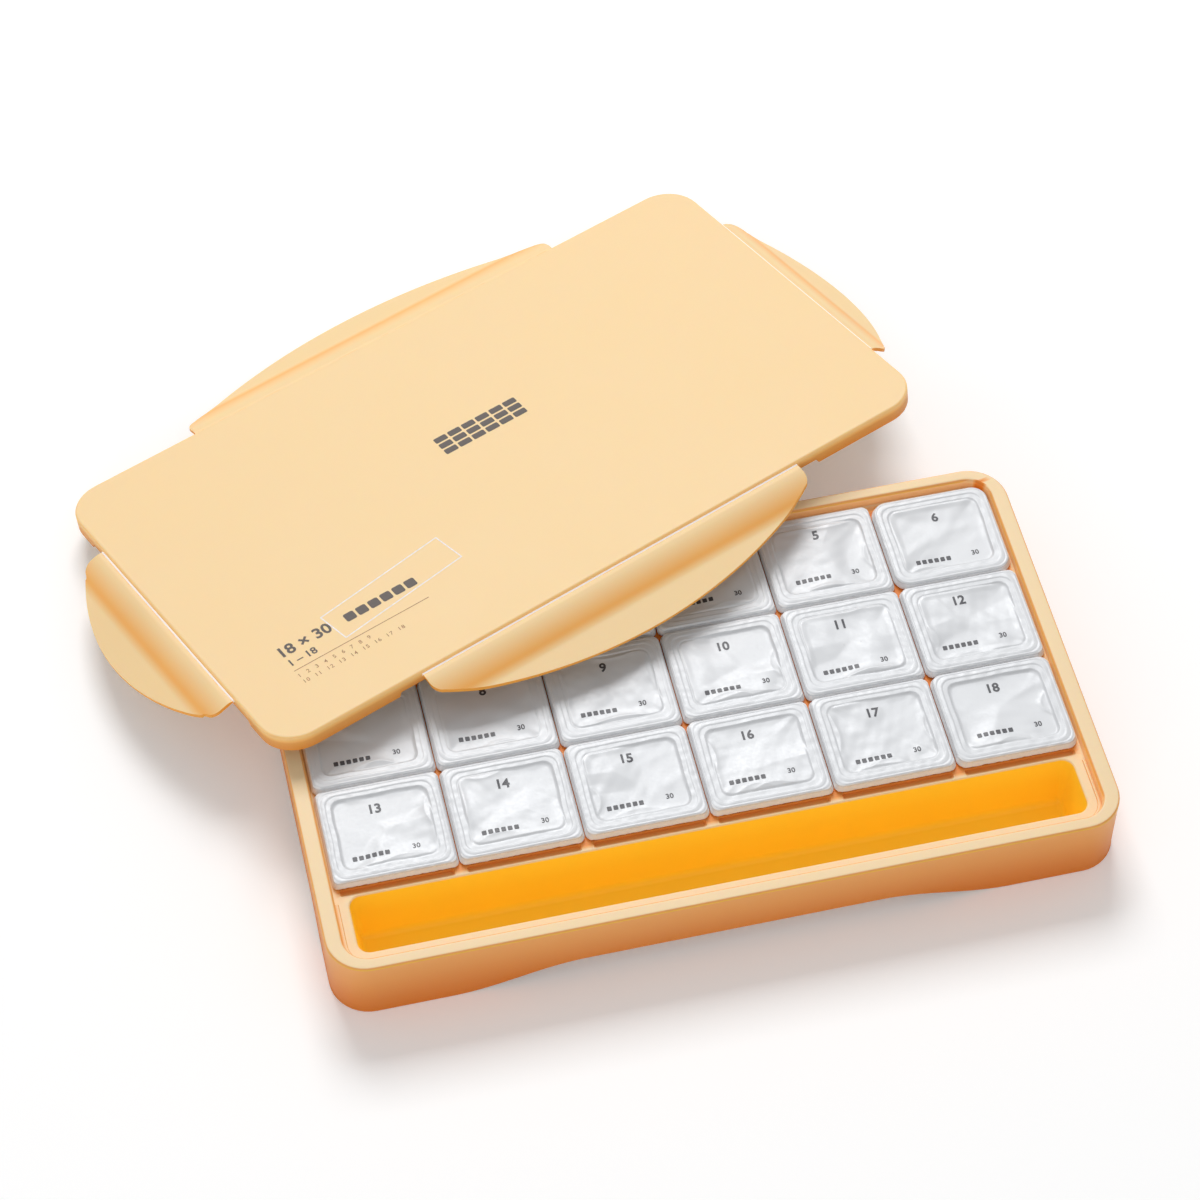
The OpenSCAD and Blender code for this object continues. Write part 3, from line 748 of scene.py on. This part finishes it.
def soft_profile(u, *sizes):
    """The profile averaged over a short stretch, so that the crease is a soft one."""
    spread = np.linspace(-CREASE_SOFT, CREASE_SOFT, 9)
    near_root = np.clip(u / (4 * CREASE_SOFT), 0, 1)
    return np.mean([flap_profile(np.maximum(u + s * near_root, 0), *sizes) for s in spread], axis=0)


def flap_half_width(u, half, reach):
    """Half the flap's length at a reach u: straight ends, a small corner and one long arc."""
    rise = reach - FLAP_END
    arc_r = (half ** 2 + rise ** 2) / (2 * rise)
    corner_x = half - FLAP_CORNER
    corner_y = reach - arc_r + math.sqrt((arc_r - FLAP_CORNER) ** 2 - corner_x ** 2)
    on_arc = np.sqrt(np.maximum(arc_r ** 2 - (u - reach + arc_r) ** 2, 0))
    in_corner = corner_x + np.sqrt(np.maximum(FLAP_CORNER ** 2 - np.maximum(u - corner_y, 0) ** 2, 0))
    rounded = np.where(in_corner > on_arc, np.minimum(on_arc, half), in_corner)
    return np.where(u < corner_y, half, rounded)


def flap_mesh(half, reach, drop, crease, crease_drop):
    """Top and bottom surfaces of a flap, row by row outwards, closed round the edge."""
    steps = np.linspace(0, 1, 60)
    u = 0.2 * MM + (reach - 0.2 * MM) * (1 - (1 - steps) ** 1.7)
    across = np.sin(even(91) * math.pi / 2)
    x = across[None, :] * flap_half_width(u, half, reach)[:, None]
    middle = soft_profile(u, reach, drop, crease, crease_drop)
    thick = np.interp(u, (0, 2 * MM, crease, reach), (0.5 * MM, FLAP_THICK, FLAP_THICK, LIP_THICK))
    rows, columns = x.shape
    flat_u = np.repeat(u, columns)
    top = np.column_stack((x.ravel(), flat_u, np.repeat(middle + thick / 2, columns)))
    bottom = np.column_stack((x.ravel(), flat_u, np.repeat(middle - thick / 2, columns)))
    faces = []
    under = rows * columns
    for i in range(rows - 1):
        for j in range(columns - 1):
            a = i * columns + j
            b = a + columns
            faces.append((a, a + 1, b + 1, b))
            faces.append((under + a, under + b, under + b + 1, under + a + 1))
    edge = list(range(columns)) + [(i + 1) * columns - 1 for i in range(1, rows)]
    edge += [(rows - 1) * columns + j for j in range(columns - 2, -1, -1)]
    edge += [i * columns for i in range(rows - 2, 0, -1)]
    for a, b in zip(edge, edge[1:] + edge[:1]):
        faces.append((a, under + a, under + b, b))
    return np.vstack((top, bottom)), faces


# The flap's own colour on open faces, and painted shade on its slopes and crease
flap_plastic = moulded_polypropylene("flap polypropylene with painted light and shade", "#F9D69F", "#F6A741", "#EE9C40", "#F6B04A")
# Bending has turned the hinge film white and matt; its faint emission is a painted glow standing in for light
# coming through it
stress_white, tree = blank_material("stress-whitened hinge film with painted glow")
film = add_node(tree, "ShaderNodeBsdfPrincipled", Base_Color=linear("#FBF4F2"), Roughness=0.5, IOR=1.49,
                Emission_Color=linear("#FBF4F2"), Emission_Strength=0.12)
add_node(tree, "ShaderNodeOutputMaterial", Surface=film.outputs[0])
BEAD = 0.55 * MM
BEAD_SIDES = 16
around_bead = np.linspace(0, 2 * math.pi, BEAD_SIDES + 1)[:-1]
FLAP_PAINTED_GLOW = 0.06


def flap_tone(p, tone):
    """A faint painted glow on the flap's slopes, standing in for light from behind coming through them."""
    return tone, np.zeros(len(p)), FLAP_PAINTED_GLOW * tone / PAINTED_SIDE_SHADE


for side, (turn, (at, half, *profile), fold) in flap_kinds.items():
    place = (lid_place @ Matrix.Rotation(math.radians(turn), 4, "Z") @ Matrix.Translation((0, at, 0))
             @ Matrix.Rotation(math.radians(-fold), 4, "X"))
    flap = piece(f"flap_{side}_panel", [flap_mesh(half, *profile)], place, sharp=60)
    bevel = flap.modifiers.new("rounded edge", "BEVEL")
    bevel.width = 0.4 * MM
    bevel.segments = 3
    bevel.limit_method = "ANGLE"
    bevel.angle_limit = math.radians(60)
    settled(flap)
    store_tone(flap, place.to_3x3().col[2], flap_tone)
    flap.data.materials.append(flap_plastic)
    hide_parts(f"flap_{side}")
    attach(flap, f"flap_{side}")
    bead_rings = [np.column_stack((np.full(BEAD_SIDES, x), BEAD * np.cos(around_bead),
                                   BEAD * np.sin(around_bead))) for x in np.linspace(-half, half, 9)]
    bead = piece(f"flap_{side}_hinge_film", [skin(bead_rings, True, True)], place)
    bead.data.materials.append(stress_white)
    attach(bead, f"flap_{side}")

# ---- Paint cups ----
# Eighteen thin cups of white plastic hold the paint. Each hangs in its pocket by a turned-down rim,
# whose lower edge is rough where the cups were torn apart.

RIM_HEIGHT = 3.4 * MM
RIM_OUT = 1.6 * MM
RIM_SLOPE = 0.6 * MM
TAPER = 2.1 * MM
CUP_WALL = 0.9 * MM
BODY_CORNER = 3 * MM
cup_plan = ring_plan(even(41), even(37), 9)
# Vacuum-formed polystyrene is smooth and softly glossy, with an unevenness of 2 to 3 mm from the forming
cup_white, tree = blank_material("vacuum-formed white polystyrene")
place_node = add_node(tree, "ShaderNodeTexCoord")
cloud = add_node(tree, "ShaderNodeTexNoise", Vector=place_node.outputs["Object"], Scale=400.0, Detail=2.0)
shade = add_node(tree, "ShaderNodeMapRange", Value=cloud.outputs["Fac"], From_Min=0.3, From_Max=0.7,
                 To_Min=0.95, To_Max=1.0)
white = add_node(tree, "ShaderNodeVectorMath", {"operation": "SCALE"}, i0=linear("#F1F1F2")[:3],
                 Scale=shade.outputs[0])
cup_surface = add_node(tree, "ShaderNodeBsdfPrincipled", Base_Color=white.outputs[0], Roughness=0.38, IOR=1.5,
                       Subsurface_Weight=0.15, Subsurface_Scale=1.5 * MM, Subsurface_Radius=(1.0, 0.9, 0.8))
add_node(tree, "ShaderNodeOutputMaterial", Surface=cup_surface.outputs[0])

# A plain run of colours from white to black for the sealed paint
PAINTS = ["#F2F0EA", "#F6E04A", "#F5B81E", "#EE7A1C", "#D8401F", "#B7193A", "#E982A6", "#6A3C8E", "#1F3C92",
          "#4FA3DB", "#1FA6A0", "#14803F", "#7DAE2E", "#6F7428", "#CFA04A", "#A05A2A", "#5C3A24", "#17181B"]
# The corner radius of each cup's rim in millimetres: the torn corners of a block of cups are all different
cup_corners = [4.6, 2.6, 3.0, 2.4, 2.8, 5.8, 2.4, 2.4, 2.7, 2.4, 2.6, 3.0, 2.0, 2.6, 3.0, 2.5, 2.8, 3.9]

cup_low, cup_high = cup_boxes[0]
CUP_SIZE = (cup_high.x - cup_low.x, cup_high.y - cup_low.y)
CUP_BODY = grow(CUP_SIZE, -RIM_OUT)
for number, centre in enumerate(cup_centres, 1):
    low, high = cup_boxes[number - 1]
    corner = cup_corners[number - 1] * MM
    rim_low = high.z - RIM_HEIGHT
    edge = ring(cup_plan, CUP_SIZE, corner, rim_low, centre)
    tear = np.array([noise.noise(Vector((p[0] * 900, p[1] * 900, number * 7.3))) for p in edge])
    rough = np.abs(tear) * 0.7 * MM
    # Up the inside, over the rim, down to its torn edge, up under it and down the outside
    cup_rings = [ring(cup_plan, grow(size, outset), radius, z, centre) for size, outset, radius, z in (
        (CUP_BODY, -TAPER - CUP_WALL - 1 * MM, BODY_CORNER - CUP_WALL, low.z + CUP_WALL),
        (CUP_BODY, -TAPER - CUP_WALL, BODY_CORNER - CUP_WALL, low.z + CUP_WALL + 0.6 * MM),
        (CUP_BODY, -CUP_WALL, BODY_CORNER - CUP_WALL, high.z),
        (CUP_SIZE, -RIM_SLOPE - 0.5 * MM, corner - 0.5 * MM, high.z),
        (CUP_SIZE, -RIM_SLOPE - 0.1 * MM, corner - 0.1 * MM, high.z - 0.15 * MM),
        (CUP_SIZE, -RIM_SLOPE, corner, high.z - 0.5 * MM),
        (CUP_SIZE, -RIM_SLOPE * 0.5, corner, high.z - RIM_HEIGHT * 0.55),
        (CUP_SIZE, -0.02 * MM, corner, rim_low + 1.15 * MM),
        (CUP_SIZE, 0, corner, rim_low + rough + 0.25 * MM),
        (CUP_SIZE, -0.15 * MM, corner, rim_low + rough),
        (CUP_SIZE, -CUP_WALL, corner - CUP_WALL, rim_low + rough),
        (CUP_SIZE, -CUP_WALL - RIM_SLOPE, corner - CUP_WALL, high.z - CUP_WALL),
        (CUP_BODY, 0, BODY_CORNER, high.z - CUP_WALL),
        (CUP_BODY, -TAPER, BODY_CORNER, low.z + 0.8 * MM),
        (CUP_BODY, -TAPER - 0.8 * MM, BODY_CORNER - 0.8 * MM, low.z))]
    cup = piece(f"cup_{number:02d}_shell", [skin(cup_rings, True, True)], sharp=45)
    cup.data.materials.append(cup_white)
    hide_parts(f"cup_{number:02d}")
    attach(cup, f"cup_{number:02d}")

    # Gouache in its cup is moist and opaque, with an even colour and a wet gloss
    paint_material, tree = blank_material(f"gouache {number:02d}")
    paint_surface = add_node(tree, "ShaderNodeBsdfPrincipled", Base_Color=linear(PAINTS[number - 1]),
                             Roughness=0.3)
    add_node(tree, "ShaderNodeOutputMaterial", Surface=paint_surface.outputs[0])
    paint = frame["nodes"][f"paint_{number:02d}"]
    paint.data.materials.clear()
    paint.data.materials.append(paint_material)

# ---- Sealing foils ----
# A white-lacquered aluminium foil is heat-sealed to each cup's rim. A pressed groove and a small ledge run
# round it, its middle is drawn down towards the paint in flat facets, and folds lie along the borders.

foil_low, foil_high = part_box("foil_01")
FOIL_SIZE = (foil_high.x - foil_low.x, foil_high.y - foil_low.y)
GROOVE_AT = 1.15 * MM
LEDGE_AT = 2.75 * MM
FLANGE = 4.4 * MM
# How deep inside the foil's edge its rings lie, close together over the groove, the ledge and the folds
near_edge = [0, 0.12, 0.3, 0.5, 0.7]
foil_steps = np.concatenate((near_edge, np.arange(0.85, 5.3, 0.16), np.arange(5.4, 8.2, 0.3))) * MM
foil_steps = np.append(foil_steps, np.linspace(8.5 * MM, FOIL_SIZE[1] / 2 - 0.5 * MM, 19))
FOIL_STOPS_Y = 57
foil_plan = ring_plan(even(65), even(FOIL_STOPS_Y), 9)


def smooth_step(low, high, value):
    t = np.clip((value - low) / (high - low), 0, 1)
    return t * t * (3 - 2 * t)


def hump(value, centre, width):
    return np.exp(-((value - centre) / width) ** 2)


def rolling(x, y, rng, count, lengths):
    """A few crossing waves whose lengths, in millimetres, lie between two limits."""
    total = np.zeros_like(x)
    for _ in range(count):
        angle, length = rng.uniform(0, math.pi), rng.uniform(*lengths) * MM
        bend = rng.uniform(-0.02, 0.02) / MM
        c, s = math.cos(angle), math.sin(angle)
        phase = (x * c + y * s) + bend * (x * s - y * c) ** 2
        total += np.sin(2 * math.pi * phase / length + rng.uniform(0, 2 * math.pi))
    return total / math.sqrt(count)


FACETS = 4
FACET_SLOPE = 0.05


def facets(x, y, rng):
    """The upper envelope of a few leaning planes, with soft creases where they meet."""
    soft = 0.05 * MM
    planes = [(rng.normal(0, FACET_SLOPE), rng.normal(0, FACET_SLOPE), rng.uniform(-0.25, 0.25) * MM)
              for _ in range(FACETS)]
    return soft * np.log(sum(np.exp((a * x + b * y + c) / soft) for a, b, c in planes))


def border_fold(along, inward, start, end, width, rise):
    """A lens-shaped fold beside an edge: it rises inwards to a crisp crease that bows off the edge."""
    share = np.clip((along - start) / (end - start), 0, 1)
    lens = np.sin(math.pi * share) ** 0.75
    crease = width * lens + 0.05 * MM
    before = np.clip(inward / crease, 0, 1)
    after = np.exp(-np.maximum(inward - crease, 0) / (2.4 * MM))
    return rise * lens * np.where(inward < crease, before ** 1.3, after)


def foil_height(x, y, depth, size, seed):
    """Height of a foil over its cup's rim at places whose depth inside the foil's edge is given."""
    rng = np.random.default_rng(seed)
    around = np.arctan2(y / size[1], x / size[0])
    # The groove, the ledge and the flange waver a little on their way round
    wander = sum(rng.uniform(-1, 1) * np.sin(k * around + rng.uniform(0, 6.3))
                 for k in (2, 3, 5, 8)) * 0.14 * MM
    shoulder = -0.42 * MM * np.clip(1 - depth / (0.75 * MM), 0, 1) ** 2
    groove = -rng.uniform(0.06, 0.1) * MM * hump(depth + 0.4 * wander, GROOVE_AT, 0.2 * MM)
    raised = 0.05 * MM * hump(depth + 0.6 * wander, LEDGE_AT - 0.5 * MM, 0.5 * MM)
    ledge = -rng.uniform(0.08, 0.14) * MM * smooth_step(-0.22 * MM, 0.22 * MM, depth + wander - LEDGE_AT)
    inside_at = depth + wander
    sunk = rng.uniform(0.42, 0.66) * MM
    drawn = sunk * (0.5 * smooth_step(FLANGE, FLANGE + 0.75 * MM, inside_at)
                    + 0.5 * smooth_step(FLANGE, FLANGE + 3.6 * MM, inside_at))
    middle = smooth_step(FLANGE, FLANGE + 1.4 * MM, inside_at)
    u, v = x / (size[0] / 2), y / (size[1] / 2)
    swell = rng.uniform(-0.25, 0.35) * MM * np.clip((1 - u ** 2) * (1 - v ** 2), 0, 1)
    flat = np.clip(facets(x, y, rng) - facets(x, y, rng), -0.5 * MM, 0.5 * MM)
    inner_x, inner_y = size[0] / 2 - FLANGE, size[1] / 2 - FLANGE
    folds = np.zeros_like(x)
    # Lens-shaped folds: nearly always one or two on the front border, sometimes on the others
    for chance, along, inward, reach in ((1.0, x, y + inner_y, inner_x), (0.55, x, y + inner_y, inner_x),
                                         (0.4, x, inner_y - y, inner_x), (0.45, y, x + inner_x, inner_y),
                                         (0.45, y, inner_x - x, inner_y)):
        start, length = rng.uniform(-1, -0.2), rng.uniform(0.7, 1.5)
        width, rise = rng.uniform(1.8, 4.2) * MM, rng.uniform(0.3, 0.58) * MM
        if rng.random() < chance:
            folds += border_fold(along, inward, start * reach, min(start + length, 1) * reach, width, rise)
    # A pinched crease runs in from each corner and fades out
    for sx in (-1, 1):
        for sy in (-1, 1):
            angle = math.radians(rng.uniform(28, 52))
            dx, dy = -sx * math.cos(angle), -sy * math.sin(angle)
            rx, ry = x - sx * (inner_x - 0.6 * MM), y - sy * (inner_y - 0.6 * MM)
            run = rx * dx + ry * dy
            across = -rx * dy + ry * dx
            tent = np.maximum(0, 1 - np.abs(across) / (1.3 * MM + 0.22 * np.maximum(run, 0)))
            strength = rng.uniform(0.15, 0.4) * rng.choice([-1, 1], p=[0.4, 0.6])
            fade = np.exp(-np.maximum(run, 0) / (rng.uniform(4, 9) * MM))
            folds += strength * MM * tent * fade * smooth_step(-1 * MM, 0.6 * MM, run)
    waves = rolling(x, y, rng, 4, (11, 24)) * 0.13 * MM + rolling(x, y, rng, 5, (4, 8)) * 0.03 * MM
    rim_waves = rolling(x, y, rng, 6, (3, 7)) * 0.035 * MM
    height = (shoulder + groove + raised + ledge - drawn + middle * (swell + flat + folds + waves)
              + (1 - middle) * rim_waves)
    # Where it would sink into the paint it lies on it
    settled_at, soft = -1.02 * MM, 0.1 * MM
    return np.where(depth < FLANGE, height, settled_at + soft * np.logaddexp(0, (height - settled_at) / soft))


# The lacquer hides the metal's shine but for a broad soft sheen, and a grain of about 1 mm breaks it up
foil_metal, tree = blank_material("white-lacquered aluminium foil")
foil_place = add_node(tree, "ShaderNodeTexCoord")
foil_grain = add_node(tree, "ShaderNodeTexNoise", Vector=foil_place.outputs["Object"], Scale=900.0,
                      Detail=3.0)
foil_bump = add_node(tree, "ShaderNodeBump", Strength=0.10, Distance=0.00008,
                     Height=foil_grain.outputs["Fac"])
foil_rough = add_node(tree, "ShaderNodeMapRange", Value=foil_grain.outputs["Fac"], From_Min=0.3, From_Max=0.7,
                      To_Min=0.38, To_Max=0.46)
foil_surface = add_node(tree, "ShaderNodeBsdfPrincipled", Base_Color=linear("#DCDEE1"), Metallic=0.08,
                        Specular_IOR_Level=0.4, Roughness=foil_rough.outputs[0],
                        Normal=foil_bump.outputs["Normal"])
add_node(tree, "ShaderNodeOutputMaterial", Surface=foil_surface.outputs[0])
foil_ink = printed_ink("dark ink on foil", "#45454B", 0.4)

FOIL_LIFT = 0.12 * MM
FOIL_SKIRT = 1.3 * MM
PRINT_STEP = 0.45 * MM
PRINT_OVER = 0.06 * MM
PRINT_SHIFT = 0.7 * MM


def cut_fine(made, step):
    """Cut a film into small cells, so that it can follow the foil."""
    work = bmesh.new()
    work.from_mesh(made.data)
    co = np.array([v.co for v in work.verts])
    for axis in (0, 1):
        for at in np.arange(co[:, axis].min() + step / 2, co[:, axis].max(), step):
            point, normal = Vector((0, 0, 0)), Vector((0, 0, 0))
            point[axis], normal[axis] = at, 1
            bmesh.ops.bisect_plane(work, geom=work.verts[:] + work.edges[:] + work.faces[:], dist=1e-7,
                                   plane_co=point, plane_no=normal)
    work.to_mesh(made.data)
    work.free()


def closing_strip(start, count):
    """Faces across the innermost ring, each from one of its long sides to the other."""
    first = FOIL_STOPS_Y // 2
    pairs = [((first + k) % count, (first - k) % count) for k in range(count // 2 + 1)]
    return [tuple(start + i for i in dict.fromkeys((a, c, d, b))) for (a, b), (c, d) in zip(pairs, pairs[1:])]


for number, (cx, cy) in enumerate(cup_centres, 1):
    corner = cup_corners[number - 1]
    top = cup_boxes[number - 1][1].z + FOIL_LIFT
    seed = 40 + number
    foil_rings = []
    for depth in foil_steps:
        size = grow(FOIL_SIZE, -depth)
        radius = np.interp(depth / MM, (0, 1.3, 4.5, 9, 20), (corner, 4.6, 3.7, 2.4, 0.3)) * MM
        loop = ring(foil_plan, size, min(radius, size[1] / 2 * 0.9), 0)
        loop[:, 2] = foil_height(loop[:, 0], loop[:, 1], np.full(len(loop), depth), FOIL_SIZE, seed) + top
        loop[:, :2] += (cx, cy)
        foil_rings.append(loop)
    # The foil's edge is bent down over the rim's shoulder, with an uneven torn border
    tear = np.array([noise.noise(Vector((p[0] * 700, p[1] * 700, number * 3.1))) for p in foil_rings[0]])
    frayed = np.array([noise.noise(Vector((p[0] * 2100, p[1] * 2100, number * 5.9))) for p in foil_rings[0]])
    drop = np.clip(0.55 + 0.6 * tear + 0.5 * frayed, 0.1, 1.2) * FOIL_SKIRT
    hem = ring(foil_plan, grow(FOIL_SIZE, 0.12 * MM), (corner + 0.1) * MM, 0, (cx, cy))
    hem[:, 2] = foil_rings[0][:, 2] - drop
    sheet_vertices, sheet_faces = skin([hem] + foil_rings)
    sheet_faces += closing_strip(len(sheet_vertices) - len(hem), len(hem))
    foil = piece(f"foil_{number:02d}_sheet", [(sheet_vertices, sheet_faces)], sharp=80, merge=1e-8)
    foil.data.materials.append(foil_metal)
    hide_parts(f"foil_{number:02d}")
    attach(foil, f"cup_{number:02d}")

    # Its print: the cup's number, its contents in millilitres and a row of squares, one for each column
    shift = Vector(np.random.default_rng(100 + number).uniform(-PRINT_SHIFT, PRINT_SHIFT, 2))
    words = str(number)
    label = piece(f"foil_{number:02d}_numbers", [
        numerals(words, 4.1 * MM, (-0.2 - 1.7 * len(words)) * MM + shift.x, 7.8 * MM + shift.y, 0.03),
        numerals("30", 2.2 * MM, 8.7 * MM + shift.x, -10.7 * MM + shift.y, 0.02)], sharp=30, merge=1e-7)
    label.data.materials.append(foil_ink)
    squares = chart(f"foil_{number:02d}_squares", foil_ink,
                    Matrix.Translation((-6.7 * MM + shift.x, -10.2 * MM + shift.y, 0)), Columns=6, Rows=1,
                    Pitch_X=2.4 * MM, Pitch_Y=2.4 * MM, Square_X=1.7 * MM, Square_Y=1.9 * MM, Corner=0.3 * MM)
    for film in (label, squares):
        cut_fine(film, PRINT_STEP)
        co = read_points(film.data)
        depth = np.minimum(FOIL_SIZE[0] / 2 - np.abs(co[:, 0]), FOIL_SIZE[1] / 2 - np.abs(co[:, 1]))
        co[:, 2] += foil_height(co[:, 0], co[:, 1], depth, FOIL_SIZE, seed) + top + PRINT_OVER
        co[:, :2] += (cx, cy)
        film.data.vertices.foreach_set("co", co.ravel())
        film.data.update()
        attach(film, f"cup_{number:02d}")

# ---- Studio ----
# A white sweep with a large soft light above and behind, and a weaker fill from the front.

floor_mesh = bpy.data.meshes.new("studio_floor")
FLOOR_HALF = 6.0
corners = [(x * FLOOR_HALF, y * FLOOR_HALF, 0) for x, y in ((-1, -1), (1, -1), (1, 1), (-1, 1))]
floor_mesh.from_pydata(corners, [], [(0, 1, 2, 3)])
floor = placed("studio_floor", floor_mesh)


def shown(tree):
    """1 for the rays that show the studio, straight or in a reflection, and 0 for those that light it."""
    rays = add_node(tree, "ShaderNodeLightPath").outputs
    return add_node(tree, "ShaderNodeMath", {"operation": "MAXIMUM"}, i0=rays["Is Camera Ray"],
                    i1=rays["Is Glossy Ray"]).outputs[0]


# Matt paper, with a little light of its own where it is seen, so that it shows as white
floor_white, tree = blank_material("matt white studio floor")
paper = add_node(tree, "ShaderNodeBsdfDiffuse", Color=linear("#FBFBFB"))
glow = add_node(tree, "ShaderNodeEmission", Color=(1, 1, 1, 1), Strength=0.33)
share = add_node(tree, "ShaderNodeMath", {"operation": "MULTIPLY"}, i0=shown(tree), i1=0.5)
both = add_node(tree, "ShaderNodeAddShader", i0=paper.outputs[0], i1=glow.outputs[0])
mixed = add_node(tree, "ShaderNodeMixShader", i0=share.outputs[0], i1=paper.outputs[0], i2=both.outputs[0])
add_node(tree, "ShaderNodeOutputMaterial", Surface=mixed.outputs[0])
floor_mesh.materials.append(floor_white)

world = bpy.data.worlds.new("studio")
bpy.context.scene.world = world
world.use_nodes = True
tree = world.node_tree
tree.nodes.clear()
ROOM_LIGHT = 0.41
room = add_node(tree, "ShaderNodeBackground", Color=(1, 1, 1, 1), Strength=ROOM_LIGHT)
look = add_node(tree, "ShaderNodeTexCoord")
height = add_node(tree, "ShaderNodeSeparateXYZ", Vector=look.outputs["Generated"])
fall = add_node(tree, "ShaderNodeMapRange", Value=height.outputs["Z"], From_Min=0.0, From_Max=0.9, To_Min=1.0,
                To_Max=0.55)
backdrop = add_node(tree, "ShaderNodeBackground", Color=(1, 1, 1, 1), Strength=fall.outputs[0])
mixed = add_node(tree, "ShaderNodeMixShader", i0=shown(tree), i1=room.outputs[0], i2=backdrop.outputs[0])
add_node(tree, "ShaderNodeOutputWorld", Surface=mixed.outputs[0])


def soft_light(name, place, target, size, watts):
    """A rectangular soft light that faces its target."""
    lamp = bpy.data.lights.new(name, "AREA")
    lamp.shape = "RECTANGLE"
    lamp.size, lamp.size_y = size
    lamp.energy = watts
    made = placed(name, lamp)
    made.location = place
    made.rotation_euler = (Vector(target) - Vector(place)).to_track_quat("-Z", "Y").to_euler()


middle = (0, 0.05, 0)
soft_light("back_softbox", (0.13, 2.38, 2.53), middle, (1.65, 1.4), 75)
soft_light("front_fill", (-0.7, -1.6, 0.55), middle, (1.0, 0.6), 4.8)

# The photograph's camera, found from the case's own edges: turned 13 degrees to the right of straight
# on, looking down at 53 degrees from 1.42 m, with a lens of 109.5 mm on a 36 mm wide frame.
CAMERA_TURN, CAMERA_TILT = math.radians(-12.965), math.radians(53.405)
CAMERA_AIM = Vector((-13.253 * MM, 76.653 * MM, 0))
CAMERA_AWAY = 1.4224
back = Vector((math.sin(CAMERA_TURN) * math.cos(CAMERA_TILT), -math.cos(CAMERA_TURN) * math.cos(CAMERA_TILT),
               math.sin(CAMERA_TILT)))
right = Vector((math.cos(CAMERA_TURN), math.sin(CAMERA_TURN), 0))
camera_data = bpy.data.cameras.new("camera")
camera_data.lens, camera_data.sensor_width = 109.47, 36
camera = placed("camera", camera_data)
camera.matrix_world = (Matrix.Translation(CAMERA_AIM + CAMERA_AWAY * back)
                       @ Matrix((right, back.cross(right), back)).transposed().to_4x4())
bpy.context.scene.camera = camera
bpy.context.scene.view_settings.view_transform = "Standard"
